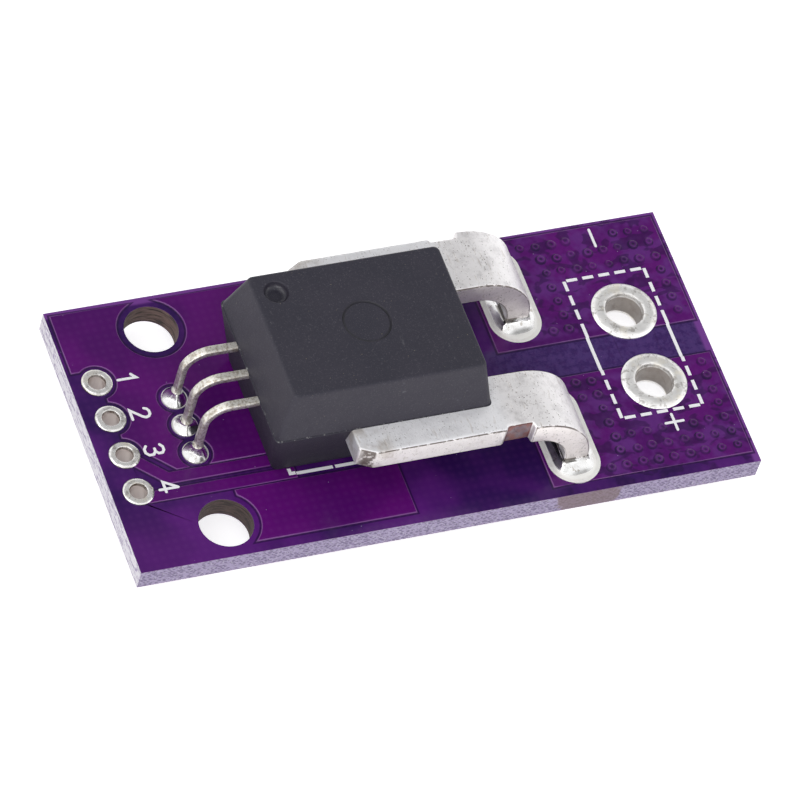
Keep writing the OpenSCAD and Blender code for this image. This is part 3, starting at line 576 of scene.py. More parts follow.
def make_terminal_finish():
    finish = Finish("matt_tin_plate")
    scuffs = finish.step(finish.cloud(1.1, detail=5.0, rough=0.7), 0.46, 0.66)
    colour = finish.mix(scuffs, PLATE, PLATE_GREY)
    wing = finish.step(finish.x, NECK_MIDDLE / MM, NECK_MIDDLE / MM - 1.2)
    colour = finish.mix(finish.sum("MULTIPLY", wing, 0.60), colour, PLATE_WHITE)
    side = finish.step(finish.sum("ABSOLUTE", finish.facing_y), 0.55, 0.85)
    colour = finish.mix(finish.sum("MULTIPLY", side, 0.55), colour, (0.84, 0.77, 0.74))

    # Fine dark grain in the plate, thicker in some places, with a few real pits
    thick = finish.step(finish.cloud(0.6, detail=2.0), 0.36, 0.62)
    thick = finish.sum("MULTIPLY", thick, finish.span(wing, 1.0, 0.45))
    grain = finish.cloud(6.5, detail=4.0, rough=0.75, place=finish.stretch((1.0, 0.55, 1.0), turn=(0, 0, 25)))
    grit = finish.sum("MULTIPLY", finish.step(grain, 0.56, 0.68), finish.span(thick, 0.35, 0.95))
    pits = finish.sum("MULTIPLY", finish.step(finish.dots(4.6), 0.24, 0.10), finish.span(thick, 0.15, 1.0))
    scratches = finish.step(finish.cloud(2.0, detail=6.0, rough=0.75, swirl=1.6), 0.64, 0.68)
    tool_marks = finish.cloud(3.2, detail=2.0, place=finish.stretch((1.6, 0.22, 1.0), turn=(0, 0, -35)))
    tool_marks = finish.sum("MULTIPLY", finish.step(tool_marks, 0.58, 0.66), finish.step(finish.cloud(0.8), 0.45, 0.6))
    colour = finish.mix(finish.sum("MULTIPLY", tool_marks, 0.35), colour, PLATE_STAIN)
    dirt = finish.sum("MAXIMUM", pits, finish.sum("MULTIPLY", scratches, 0.7))
    colour = finish.mix(finish.sum("MULTIPLY", grit, 0.62), colour, (0.26, 0.23, 0.20))
    colour = finish.mix(finish.sum("MULTIPLY", dirt, 0.85), colour, PLATE_DARK)

    # The far end of each wing is stained, and the upper edge of every side is brown in places
    stain = finish.sum(
        "MULTIPLY",
        finish.step(finish.x, wing_x / MM + 2.6, wing_x / MM + 1.2),
        finish.step(finish.cloud(0.9, detail=4.0), 0.32, 0.70),
    )
    colour = finish.mix(finish.sum("MULTIPLY", stain, 0.62), colour, PLATE_STAIN)
    edge = finish.sum(
        "MULTIPLY",
        finish.within(finish.sum("ABSOLUTE", finish.facing_y), 0.72, 0.17, 0.10),
        finish.step(finish.cloud(2.6, detail=4.0, rough=0.7), 0.34, 0.50),
    )
    edge = finish.sum("MULTIPLY", edge, finish.step(finish.sum("ABSOLUTE", finish.facing_x), 0.60, 0.45))
    colour = finish.mix(finish.sum("MULTIPLY", edge, 0.88), colour, EDGE_BROWN)
    cut = finish.within(finish.x, NECK_MIDDLE / MM, NECK_LENGTH / MM / 2 - 0.06, 0.05)
    cut = finish.sum("MULTIPLY", cut, side)
    cut = finish.sum("MULTIPLY", cut, finish.step(finish.sum("ABSOLUTE", finish.y), 6.3, 6.5))
    raw = finish.mix(finish.step(finish.cloud(2.0, detail=4.0), 0.40, 0.62), RAW_COPPER, RAW_DULL)
    colour = finish.mix(finish.sum("MULTIPLY", cut, 0.90), colour, raw)
    normal = finish.relief(dirt, -0.02)
    normal = finish.relief(tool_marks, -0.008, normal)
    normal = finish.relief(grain, 0.016, normal)
    normal = finish.relief(finish.cloud(1.3, detail=2.0), 0.03, normal)
    rough = finish.span(finish.cloud(2.5), 0.34, 0.52)
    metal = finish.span(wing, 0.70, 0.50)
    return finish.wear(Base_Color=colour, Roughness=rough, Metallic=metal, Normal=normal)


def make_lead_finish():
    finish = Finish("drawn_tin_plate", metallic=0.75)
    grain = finish.cloud(5.0, detail=4.0, rough=0.7)
    colour = finish.mix(finish.step(grain, 0.42, 0.64), (0.78, 0.76, 0.71), (0.44, 0.39, 0.32))
    specks = finish.step(finish.dots(5.0), 0.14, 0.07)
    colour = finish.mix(finish.sum("MULTIPLY", specks, 0.6), colour, PLATE_DARK)
    normal = finish.relief(grain, 0.02)
    rough = finish.span(finish.cloud(3.0), 0.26, 0.42)
    return finish.wear(Base_Color=colour, Roughness=rough, Normal=normal)


def make_land_finish():
    finish = Finish("tinned_land_skin")
    blotch = finish.cloud(2.0, detail=4.0, rough=0.65, swirl=0.5)
    colour = finish.mix(finish.step(blotch, 0.50, 0.66), TIN, TIN_GREY)
    colour = finish.mix(finish.step(finish.cloud(1.1), 0.5, 0.7), colour, TIN_YELLOW)
    specks = finish.step(finish.dots(3.0), 0.12, 0.06)
    colour = finish.mix(finish.sum("MULTIPLY", specks, 0.5), colour, PLATE_DARK)
    height = finish.sum("ABSOLUTE", finish.sum("SUBTRACT", finish.z, middle_z / MM))
    wall = finish.step(height, sunk - 0.02, sunk - 0.12)
    wall_streaks = finish.cloud(4.0, detail=3.0, place=finish.stretch((1.0, 1.0, 0.3)))
    wall_colour = finish.mix(wall_streaks, (0.34, 0.29, 0.26), (0.18, 0.15, 0.13))
    colour = finish.mix(finish.sum("MULTIPLY", wall, 0.90), colour, wall_colour)
    normal = finish.relief(finish.cloud(3.4, detail=3.0), 0.025)
    normal = finish.relief(finish.cloud(16.0), 0.004, normal)
    rough = finish.span(blotch, 0.22, 0.48)
    metal = finish.span(wall, 0.75, 0.25)

    # The long lands are tinned thick and pale, the walls of the header holes get painted light as if lit from below,
    # and their inner lip painted shade
    long_land = finish.sum("MULTIPLY", finish.step(finish.x, 5.4, 5.8), finish.step(finish.x, 10.6, 10.2))
    colour = finish.mix(finish.sum("MULTIPLY", long_land, 0.75), colour, CREAM)
    metal = finish.sum("MULTIPLY", metal, finish.span(long_land, 1.0, 0.35))
    # Painted light on the walls of the header holes
    header = finish.step(finish.x, HEADER_EDGE_X / MM, HEADER_EDGE_X / MM - 0.2)
    painted_light_wall = finish.sum("MULTIPLY", finish.sum("MULTIPLY", header, wall), 0.85)
    colour = finish.mix(painted_light_wall, colour, WALL_PAINTED_LIGHT)
    rough = finish.sum("MULTIPLY", rough, finish.span(header, 1.0, 0.6))
    # Painted shade: a dark brown rim just inside each header hole
    lip_shade = finish.step(finish.sum("ABSOLUTE", finish.facing_z), 0.93, 0.70)
    lip_shade = finish.sum("MULTIPLY", finish.sum("MULTIPLY", lip_shade, header), finish.span(wall, 1.0, 0.0))
    lip_shade = finish.sum("MULTIPLY", lip_shade, finish.span(finish.step(finish.cloud(2.4, detail=2.0), 0.40, 0.56), 0.35, 0.95))
    colour = finish.mix(lip_shade, colour, LIP_SHADE)
    return finish.wear(Base_Color=colour, Roughness=rough, Metallic=metal, Normal=normal)


def make_solder_finish():
    finish = Finish("bright_solder", metallic=1.0)
    colour = finish.mix(finish.step(finish.cloud(2.0), 0.4, 0.7), (0.92, 0.92, 0.92), (0.74, 0.73, 0.72))
    flux = finish.step(finish.cloud(2.6, detail=4.0), 0.62, 0.68)
    colour = finish.mix(finish.sum("MULTIPLY", flux, 0.5), colour, (0.30, 0.24, 0.17))
    height = finish.sum("ABSOLUTE", finish.sum("SUBTRACT", finish.z, middle_z / MM))
    at_terminal = finish.step(finish.x, 4.0, 5.0)
    thin = finish.sum("MULTIPLY", finish.step(height, raised + 0.060, raised + 0.030), at_terminal)
    colour = finish.mix(finish.sum("MULTIPLY", thin, 0.85), colour, CREAM)
    # Painted shade in patches high on the terminal joints, near the leg
    contact_shade = finish.sum("MULTIPLY", finish.step(height, raised + 0.24, raised + 0.36), at_terminal)
    contact_shade = finish.sum("MULTIPLY", contact_shade, finish.step(finish.cloud(1.5, detail=3.0), 0.42, 0.52))
    colour = finish.mix(finish.sum("MULTIPLY", contact_shade, 0.85), colour, PLATE_DARK)
    normal = finish.relief(finish.cloud(1.2, detail=1.5), 0.022)
    rough = finish.sum("ADD", finish.span(finish.cloud(2.4), 0.07, 0.20), finish.sum("MULTIPLY", thin, 0.25))
    metal = finish.span(thin, 1.0, 0.35)
    return finish.wear(Base_Color=colour, Roughness=rough, Metallic=metal, Normal=normal)


NECK_LENGTH = 1.7 * MM
NECK_MIDDLE = 3.8 * MM
wing_x = conductor_low.x
terminal_finish = make_terminal_finish()
lead_finish = make_lead_finish()
land_finish = make_land_finish()
solder_finish = make_solder_finish()
print("made", terminal_finish.name, lead_finish.name, land_finish.name, solder_finish.name)

# %% [markdown]
# ## Epoxy, ink and the sealed pieces
# The case is filled epoxy with a fine spark-eroded grain and a few pale specks of filler. Its
# sloped sides get a painted highlight, and its lower half and the ejector groove painted shade. The
# ink is thick white paint that breaks up a little at its edges. The foil, the core, the die and the
# bond wires are out of sight, and each still gets the finish of its real material.

# %% Make the epoxy, ink and inner finishes


def make_case_finish():
    finish = Finish("moulded_epoxy")
    tone = finish.cloud(0.35, detail=3.0)
    colour = finish.mix(finish.step(tone, 0.35, 0.7), (0.020, 0.018, 0.031), (0.015, 0.014, 0.026))
    # Painted highlight: the sloped sides are lighter than the top
    highlight_slope = finish.step(finish.facing_z, 0.9, 0.6)
    colour = finish.mix(finish.sum("MULTIPLY", highlight_slope, 0.55), colour, (0.037, 0.033, 0.048))
    # Painted shade: the lower half, below the parting line, is darker
    lower = finish.step(finish.z, PARTING_Z / MM + 0.01, PARTING_Z / MM - 0.03)
    colour = finish.mix(finish.sum("MULTIPLY", lower, 0.75), colour, (0.014, 0.012, 0.022))
    grain = finish.cloud(13.0, detail=3.0, rough=0.7)
    colour = finish.mix(finish.sum("MULTIPLY", finish.step(grain, 0.54, 0.74), 0.7), colour, (0.095, 0.092, 0.11))
    specks = finish.step(finish.dots(2.6), 0.075, 0.035)
    specks = finish.sum("MULTIPLY", specks, finish.step(finish.cloud(0.8), 0.46, 0.60))
    colour = finish.mix(finish.sum("MULTIPLY", specks, 0.6), colour, (0.34, 0.30, 0.20))
    rub_place = finish.stretch((1, 0.3, 1))
    rubs = finish.step(finish.cloud(1.2, detail=6.0, rough=0.75, place=rub_place), 0.62, 0.76)
    colour = finish.mix(finish.sum("MULTIPLY", rubs, 0.40), colour, (0.17, 0.17, 0.19))
    seam = finish.sum(
        "MULTIPLY",
        finish.within(finish.z, PARTING_Z / MM, 0.03, 0.02),
        finish.step(finish.cloud(3.4, detail=5.0, rough=0.75), 0.56, 0.64),
    )
    colour = finish.mix(finish.sum("MULTIPLY", seam, 0.55), colour, (0.42, 0.42, 0.42))
    normal = finish.relief(grain, 0.012)
    normal = finish.relief(finish.cloud(2.0, detail=2.0), 0.01, normal)
    bowl = finish.sum(
        "MULTIPLY",
        finish.step(finish.distance(DIMPLE_AT), DIMPLE_R / MM, DIMPLE_R / MM - 0.1),
        finish.step(finish.z, case_high.z / MM - 0.05, case_high.z / MM - 0.12),
    )
    # Painted shade in the ejector groove
    groove_shade = finish.within(finish.distance(EJECTOR_AT), EJECTOR_R / MM - 0.05, 0.06, 0.04)
    groove_shade = finish.sum("MULTIPLY", groove_shade, finish.step(finish.z, case_high.z / MM - 0.01, case_high.z / MM - 0.04))
    groove_shade = finish.sum("MULTIPLY", groove_shade, finish.span(finish.cloud(1.6, detail=4.0), 0.0, 1.4))
    colour = finish.mix(groove_shade, colour, (0.008, 0.008, 0.012))
    rough = finish.span(finish.cloud(1.5), 0.50, 0.66)
    rough = finish.sum("MULTIPLY", rough, finish.span(bowl, 1.0, 0.4))
    finish.shader.inputs["Specular IOR Level"].default_value = 0.45
    return finish.wear(Base_Color=colour, Roughness=rough, Normal=normal)


def make_ink_finish():
    finish = Finish("white_ink", roughness=0.5)
    patch = finish.step(finish.cloud(5.0, detail=4.0, rough=0.7), 0.60, 0.74)
    colour = finish.mix(finish.sum("MULTIPLY", patch, 0.35), (0.90, 0.90, 0.93), (0.52, 0.46, 0.66))
    normal = finish.relief(finish.cloud(8.0, detail=3.0), 0.01)
    return finish.wear(Base_Color=colour, Normal=normal)


def make_plain_metal(name, light, dark, scale, rough_low, rough_high):
    finish = Finish(name, metallic=1.0)
    cloud = finish.cloud(scale, detail=4.0, rough=0.6)
    colour = finish.mix(finish.step(cloud, 0.35, 0.7), light, dark)
    rough = finish.span(cloud, rough_low, rough_high)
    return finish.wear(Base_Color=colour, Roughness=rough, Normal=finish.relief(cloud, 0.01))


case_low, case_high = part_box("sensor_case")
PARTING_Z = conductor_high.z
DIMPLE_R = 0.72 * MM
DIMPLE_AT = Vector((-8.36, 2.92, 0)) * MM
EJECTOR_R = 1.42 * MM
EJECTOR_AT = Vector(((case_low.x + case_high.x) / 2, 0, 0))
case_finish = make_case_finish()
ink_finish = make_ink_finish()
foil_finish = make_plain_metal("copper_foil_skin", (0.80, 0.46, 0.28), (0.62, 0.30, 0.17), 2.0, 0.25, 0.45)
core_finish = make_plain_metal("sintered_core", (0.16, 0.16, 0.17), (0.07, 0.07, 0.08), 5.0, 0.45, 0.70)
die_finish = make_plain_metal("polished_silicon", (0.30, 0.32, 0.38), (0.22, 0.24, 0.31), 3.0, 0.10, 0.25)
gold_finish = make_plain_metal("gold_wire", (0.86, 0.66, 0.26), (0.70, 0.48, 0.15), 20.0, 0.15, 0.30)
print("made", case_finish.name, ink_finish.name, "and four inner finishes")

# %% Dress the CAD nodes that stay


def dress(node, material):
    """Give every slot of a CAD node this material."""
    mesh = nodes[node].data
    if not mesh.materials:
        mesh.materials.append(material)
    for index in range(len(mesh.materials)):
        mesh.materials[index] = material


KEPT = {
    "board_core": laminate_finish,
    "legend_lines": ink_finish,
    "flux_core": core_finish,
    "hall_die": die_finish,
}
for name in nodes:
    if name.startswith(("foil_", "trace_")):
        KEPT[name] = foil_finish
    if name.startswith("bond_wire"):
        KEPT[name] = gold_finish
    if name.startswith(("signal_barrel", "slot_barrel")):
        KEPT[name] = land_finish
for name, material in KEPT.items():
    dress(name, material)
print("dressed", len(KEPT), "CAD nodes")

# %% [markdown]
# ## Making pieces
# A new piece is built as a bmesh and put into the module with its place already in its mesh, and the
# node that it stands for is hidden. Big flat faces beside small rounded edges shade badly when plain
# smooth shading averages their normals, so a Weighted Normal modifier gives the flat faces the say,
# and its result is kept as the mesh.

# %% Write the piece maker


def settle(piece):
    """Replace the mesh by what its modifiers make of it, and take them off."""
    graph = bpy.context.evaluated_depsgraph_get()
    made = bpy.data.meshes.new_from_object(piece.evaluated_get(graph))
    old = piece.data
    piece.modifiers.clear()
    made.name = old.name
    piece.data = made
    bpy.data.meshes.remove(old)
    return piece


def make_piece(name, built, material, stands_for=(), sharp=32):
    """Turn a bmesh into a finished piece that rides on the module."""
    mesh = bpy.data.meshes.new(name)
    built.to_mesh(mesh)
    built.free()
    mesh.materials.append(material)
    mesh.shade_smooth()
    mesh.set_sharp_from_angle(angle=math.radians(sharp))
    piece = bpy.data.objects.new(name, mesh)
    scene.collection.objects.link(piece)
    weight = piece.modifiers.new("weight", "WEIGHTED_NORMAL")
    weight.keep_sharp = True
    settle(piece)
    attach(piece, "root")
    if stands_for:
        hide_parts(*stands_for)
    print(name, "has", len(piece.data.polygons), "faces")
    return piece


def loft(rings, closed=False):
    """A shell over rings of points: capped at both ends, or closed round like a tyre."""
    built = bmesh.new()
    rows = [[built.verts.new(point) for point in ring] for ring in rings]
    pairs = list(zip(rows, rows[1:]))
    if closed:
        pairs.append((rows[-1], rows[0]))
    count = len(rows[0])
    for low, high in pairs:
        for i in range(count):
            j = (i + 1) % count
            built.faces.new((low[i], low[j], high[j], high[i]))
    if not closed:
        built.faces.new(list(reversed(rows[0])))
        built.faces.new(rows[-1])
    bmesh.ops.recalc_face_normals(built, faces=built.faces)
    return built


def uneven(point, spots, size):
    """A small random height at this point: spots to the millimetre, and a size in millimetres."""
    return noise.noise(point / MM * spots) * size * MM


# %% [markdown]
# ## The mask sheets
# Lacquer never turns a sharp corner. It runs down over the edge of the foil as a slope and pools a
# little at its foot. The CAD sheet has the true outline of every foil edge with upright steps, so a
# copy of it is merged into one skin, its steps are cut into a few levels, and each level is moved
# outwards by its share of a soft curve. A thin strip along each foot stands for the pool.

# %% Lean the steps of the mask
STEP_SHAPE = [(0.00, 0.00), (0.14, 0.22), (0.50, 0.50), (0.86, 0.78), (1.00, 1.00)]
MASK_LEAN = 0.10 * MM
POOL_WIDTH = 0.12 * MM
POOL_RISE = 0.012 * MM
POOL_SKIN = 0.0006 * MM
STEEPEST = math.radians(44)
CLOSE = 0.002 * MM
SAME_PLANE = 0.9995


def merged_copy(node):
    """A bmesh of a CAD node with its loose triangles merged, and with whole upright faces."""
    built = bmesh.new()
    built.from_mesh(nodes[node].data)
    bmesh.ops.remove_doubles(built, verts=built.verts, dist=0.001 * MM)
    diagonals = []
    for edge in built.edges:
        upright = len(edge.link_faces) == 2 and all(abs(face.normal.z) < 0.1 for face in edge.link_faces)
        along = (edge.verts[1].co - edge.verts[0].co).normalized()
        if upright and 0.001 < abs(along.z) < 0.999:
            first, second = edge.link_faces
            if first.normal.dot(second.normal) > SAME_PLANE:
                diagonals.append(edge)
    bmesh.ops.dissolve_edges(built, edges=diagonals, use_verts=False)
    return built


def spot(point):
    """A key for a place on the board, the same for all heights."""
    return (round(point.x / MM, 3), round(point.y / MM, 3))


def step_ways(built, foot_z, head_z):
    """For every corner of a step, the way out from it."""
    found = {}
    for face in built.faces:
        heights = [vert.co.z for vert in face.verts]
        has_foot = any(abs(z - foot_z) < CLOSE for z in heights)
        has_head = any(abs(z - head_z) < CLOSE for z in heights)
        if not (has_foot and has_head and abs(face.normal.z) < 0.1):
            continue
        out = Vector((face.normal.x, face.normal.y, 0)).normalized()
        for vert in face.verts:
            known = found.setdefault(spot(vert.co), [])
            if all(out.dot(other) < 0.9999 for other in known):
                known.append(out)
    ways = {}
    for key, known in found.items():
        total = sum(known, Vector((0, 0, 0)))
        if total.length > 0.2:
            mitre = total.normalized()
            ways[key] = mitre / max(0.4, min(mitre.dot(out) for out in known))
    return ways


def cut_level(built, z):
    """Cut all upright faces at this height."""
    everything = list(built.verts) + list(built.edges) + list(built.faces)
    level = Vector((0, 0, z))
    bmesh.ops.bisect_plane(built, geom=everything, plane_co=level, plane_no=(0, 0, 1), dist=0.0001 * MM)


def add_pools(built, lines, foot_z, sign):
    """A narrow strip of pooled lacquer along each foot line."""
    for (start, way_start), (end, way_end) in lines:
        points = [
            (start, POOL_RISE),
            (start + way_start * POOL_WIDTH, POOL_SKIN),
            (end + way_end * POOL_WIDTH, POOL_SKIN),
            (end, POOL_RISE),
        ]
        face = built.faces.new([built.verts.new((p.x, p.y, foot_z + sign * rise)) for p, rise in points])
        face.normal_update()
        if face.normal.z * sign < 0:
            face.normal_flip()


def corner_key(point):
    """A key for a place in the sheet."""
    return (*spot(point), round(point.z / MM, 4))


def lay_flat(mesh, leaning):
    """Corner normals: upright faces and flats as they are, and each step leaning only half way down."""
    normals = []
    for face in mesh.polygons:
        flat = Vector((0, 0, math.copysign(1, face.normal.z)))
        is_slope = 0.1 < abs(face.normal.z) < 0.985
        for loop in face.loop_indices:
            point = mesh.vertices[mesh.loops[loop].vertex_index].co
            if is_slope:
                normals.append(leaning.get(corner_key(point), flat))
            else:
                normals.append(flat if abs(face.normal.z) > 0.5 else face.normal.copy())
    mesh.normals_split_custom_set(normals)


for side in ("top", "bottom"):
    sheet = merged_copy("mask_" + side)
    sign = 1 if side == "top" else -1
    foot_z = middle_z + sign * (bare_z - middle_z)
    head_z = middle_z + sign * (mask_top_z - middle_z)
    ways = step_ways(sheet, foot_z, head_z)
    leaning = {}
    for drop, lean in STEP_SHAPE[1:-1]:
        cut_level(sheet, head_z + (foot_z - head_z) * drop)
    lines = []
    for edge in sheet.edges:
        ends = [vert for vert in edge.verts if spot(vert.co) in ways and abs(vert.co.z - foot_z) < CLOSE]
        if len(ends) == 2 and any(abs(face.normal.z) < 0.1 for face in edge.link_faces):
            lines.append([(vert.co + ways[spot(vert.co)] * MASK_LEAN, ways[spot(vert.co)]) for vert in ends])
    for vert in sheet.verts:
        way = ways.get(spot(vert.co))
        drop = (vert.co.z - head_z) / (foot_z - head_z)
        if way is None or not -0.01 < drop < 1.01:
            continue
        lean = min(STEP_SHAPE, key=lambda pair: abs(pair[0] - drop))[1]
        vert.co += way * MASK_LEAN * lean
        tilt = STEEPEST * math.sin(math.pi * lean)
        leaning[corner_key(vert.co)] = way.normalized() * math.sin(tilt) + Vector((0, 0, sign * math.cos(tilt)))
    add_pools(sheet, lines, foot_z, sign)
    print("leaned", len(ways), "step corners and laid", len(lines), "pool strips")
    piece = make_piece("mask_sheet_" + side, sheet, mask_finish, ["mask_" + side])
    lay_flat(piece.data, leaning)

# %% [markdown]
# ## The case
# Epoxy cases are moulded in two halves, and each half leans in from the parting line so that it
# leaves its cavity. The shell is lofted from rounded rectangles: up the lower half, over the small
# step at the parting line, up the upper half and round the top edge. The ejector mark and the
# dimple are cut by a boolean with two turned cutters.

# %% Loft the case
CASE_DRAFT = math.tan(math.radians(13))
CASE_STEP = 0.06 * MM
CORNER_ROUND = 0.34 * MM
TOP_ROUND = 0.15 * MM
FOOT_ROUND = 0.10 * MM
case_middle = (case_low + case_high) / 2
case_half_x = (case_high.x - case_low.x) / 2 - CASE_STEP
case_half_y = (case_high.y - case_low.y) / 2 - CASE_STEP
QUARTER_STEPS = 6


def rounded_rectangle(middle, half_x, half_y, radius, z, steps=QUARTER_STEPS):
    """A ring of points round a rectangle with round corners."""
    ring = []
    for turn, (sign_x, sign_y) in enumerate([(1, 1), (-1, 1), (-1, -1), (1, -1)]):
        for i in range(steps + 1):
            angle = math.radians(90) * (turn + i / steps)
            x = middle.x + sign_x * (half_x - radius) + radius * math.cos(angle)
            y = middle.y + sign_y * (half_y - radius) + radius * math.sin(angle)
            ring.append(Vector((x, y, z)))
    return ring


def case_ring(z, inset=0.0):
    """The case's outline at this height, pulled in by its draft and an extra inset."""
    lean = abs(z - PARTING_Z) * CASE_DRAFT + inset
    return rounded_rectangle(case_middle, case_half_x - lean, case_half_y - lean, CORNER_ROUND, z)


def quarter(steps):
    """Shares of a quarter round, as pairs of 1 - cos and sin."""
    turns = [math.radians(90) * i / steps for i in range(steps + 1)]
    return [(1 - math.cos(turn), math.sin(turn)) for turn in turns]


case_rings = []
for inward, up in reversed(quarter(3)):
    case_rings.append(case_ring(case_low.z + FOOT_ROUND * (1 - up), FOOT_ROUND * inward - CASE_STEP))
for share in (0.33, 0.66, 1.0):
    height = case_low.z + FOOT_ROUND + share * (PARTING_Z - case_low.z - FOOT_ROUND)
    case_rings.append(case_ring(height - 0.02 * MM, -CASE_STEP))
case_rings.append(case_ring(PARTING_Z, -CASE_STEP + 0.02 * MM))
case_rings.append(case_ring(PARTING_Z + 0.01 * MM, 0.015 * MM))
case_rings.append(case_ring(PARTING_Z + 0.04 * MM, 0.0))
for share in (0.33, 0.66):
    case_rings.append(case_ring(PARTING_Z + share * (case_high.z - TOP_ROUND - PARTING_Z)))
for inward, up in quarter(4):
    case_rings.append(case_ring(case_high.z - TOP_ROUND * (1 - up), TOP_ROUND * inward))
case_shell = loft(case_rings)
print("case shell has", len(case_shell.faces), "faces before its marks")

# %% Turn the cutters and cut the marks
EJECTOR_DEPTH = 0.09 * MM
DIMPLE_DEPTH = 0.42 * MM
LIP = 0.05 * MM


def turned(profile, middle, count=64):
    """A turned solid: profile gives radius and height from its lower pole to its upper one."""
    rings = []
    for radius, z in profile:
        ring = []
        for i in range(count):
            angle = math.radians(360) * i / count
            ring.append(Vector((
                middle.x + radius * math.cos(angle),
                middle.y + radius * math.sin(angle),
                z,
            )))
        rings.append(ring)
    return loft(rings)


top = case_high.z
ejector_cutter = turned(
    [
        (EJECTOR_R - LIP * 3.0, top - EJECTOR_DEPTH * 0.4),
        (EJECTOR_R - LIP * 1.8, top - EJECTOR_DEPTH * 0.9),
        (EJECTOR_R - LIP * 0.8, top - EJECTOR_DEPTH),
        (EJECTOR_R, top - EJECTOR_DEPTH * 0.6),
        (EJECTOR_R + LIP * 0.3, top - EJECTOR_DEPTH * 0.2),
        (EJECTOR_R + LIP, top + LIP * 0.2),
        (EJECTOR_R + LIP, top + LIP * 4),
    ],
    EJECTOR_AT,
)
dimple_cutter = turned(
    [
        (DIMPLE_R * 0.10, top - DIMPLE_DEPTH * 0.86),
        (DIMPLE_R * 0.45, top - DIMPLE_DEPTH),
        (DIMPLE_R * 0.72, top - DIMPLE_DEPTH * 0.95),
        (DIMPLE_R * 0.90, top - DIMPLE_DEPTH * 0.75),
        (DIMPLE_R * 0.98, top - DIMPLE_DEPTH * 0.45),
        (DIMPLE_R, top - DIMPLE_DEPTH * 0.18),
        (DIMPLE_R + LIP * 0.3, top - LIP * 0.5),
        (DIMPLE_R + LIP, top + LIP * 0.1),
        (DIMPLE_R + LIP, top + LIP * 4),
    ],
    DIMPLE_AT,
    count=40,
)


def as_object(name, built):
    """A bare object for a modifier to use."""
    mesh = bpy.data.meshes.new(name)
    built.to_mesh(mesh)
    built.free()
    made = bpy.data.objects.new(name, mesh)
    scene.collection.objects.link(made)
    return made


case_block = as_object("case_block", case_shell)
cutters = [as_object("ejector_cutter", ejector_cutter), as_object("dimple_cutter", dimple_cutter)]
for cutter in cutters:
    cut = case_block.modifiers.new("cut", "BOOLEAN")
    cut.operation = "DIFFERENCE"
    cut.solver = "EXACT"
    cut.object = cutter
settle(case_block)
cut_case = bmesh.new()
cut_case.from_mesh(case_block.data)
for spare in [case_block, *cutters]:
    bpy.data.objects.remove(spare)
make_piece("case_body", cut_case, case_finish, ["sensor_case"], sharp=40)

# %% [markdown]
# ## The conductor and the leads
# Both are stamped flat and then formed, and they are built here in the same order. The outline is
# cut from a flat plate, its edges are rounded, it is sliced across where it will bend, and then
# every point past the bend line is carried round the bend's centre. The plate keeps its thickness
# because a point's height over the plate becomes its distance from that centre.

# %% Write the stamping and bending tool


def stamped(outline, low_z, high_z, edge_round):
    """A flat plate with this outline, with rounded edges."""
    built = bmesh.new()
    face = built.faces.new([built.verts.new((x, y, low_z)) for x, y in outline])
    grown = bmesh.ops.extrude_face_region(built, geom=[face])
    lifted = [item for item in grown["geom"] if isinstance(item, bmesh.types.BMVert)]
    bmesh.ops.translate(built, verts=lifted, vec=(0, 0, high_z - low_z))
    bmesh.ops.recalc_face_normals(built, faces=built.faces)
    bmesh.ops.bevel(
        built,
        geom=list(built.edges),
        offset=edge_round,
        segments=3,
        profile=0.5,
        affect="EDGES",
        clamp_overlap=True,
    )
    return built


def slice_across(built, axis, places):
    """Cut the mesh by planes across an axis, without parting it."""
    normal = Vector((0, 0, 0))
    normal[axis] = 1
    for place in places:
        point = Vector((0, 0, 0))
        point[axis] = place
        everything = list(built.verts) + list(built.edges) + list(built.faces)
        bmesh.ops.bisect_plane(built, geom=everything, plane_co=point, plane_no=normal, dist=0.0001 * MM)


def formed(built, bend_x, way, low_z, inner_r, thickness):
    """Bend everything past bend_x down through a right angle. way is 1 towards +X, -1 towards -X."""
    arc = (inner_r + thickness / 2) * math.radians(90)
    centre_z = low_z - inner_r
    for vert in built.verts:
        past = way * (vert.co.x - bend_x)
        if past <= 0:
            continue
        reach = inner_r + vert.co.z - low_z
        turn = math.radians(90) * min(past / arc, 1.0)
        straight = max(past - arc, 0.0)
        vert.co.x = bend_x + way * reach * math.sin(turn)
        vert.co.z = centre_z + reach * math.cos(turn) - straight
    return arc


def spread(low, high, step):
    """Places between two values, about a step apart."""
    count = max(1, round((high - low) / step))
    return [low + (high - low) * i / count for i in range(1, count)]


# %% Stamp and form the conductor
TERM_T = 1.5 * MM
TERM_GAP = 6.0 * MM
BEND_R = 2.5 * MM
WING_TRIM = 0.18 * MM
NECK_TRIM = 0.40 * MM
WING_CORNER = Vector((0.95, 0.50)) * MM
BRIDGE_WIDTH = 2.0 * MM
PLATE_ROUND = 0.13 * MM
BEND_SLICES = 24
outer_y = conductor_high.y
wing_y = outer_y - WING_TRIM
bend_x = conductor_high.x - TERM_T - BEND_R
neck_from = NECK_MIDDLE - NECK_LENGTH / 2
neck_to = NECK_MIDDLE + NECK_LENGTH / 2
plate_low = PARTING_Z - TERM_T
leg_length = plate_low - BEND_R - conductor_low.z
bend_arc = (BEND_R + TERM_T / 2) * math.radians(90)
tip_x = bend_x + bend_arc + leg_length
half_outline = [
    (wing_x, wing_y - WING_CORNER.y),
    (wing_x + WING_CORNER.x, wing_y),
    (neck_from, wing_y),
    (neck_from + 0.12 * MM, outer_y - NECK_TRIM),
    (neck_to - 0.06 * MM, outer_y - NECK_TRIM),
    (neck_to, outer_y),
    (tip_x, outer_y),
    (tip_x, TERM_GAP / 2),
    (wing_x + BRIDGE_WIDTH, TERM_GAP / 2),
]
outline = half_outline + [(x, -y) for x, y in reversed(half_outline)]
conductor = stamped(outline, plate_low, PARTING_Z, PLATE_ROUND)
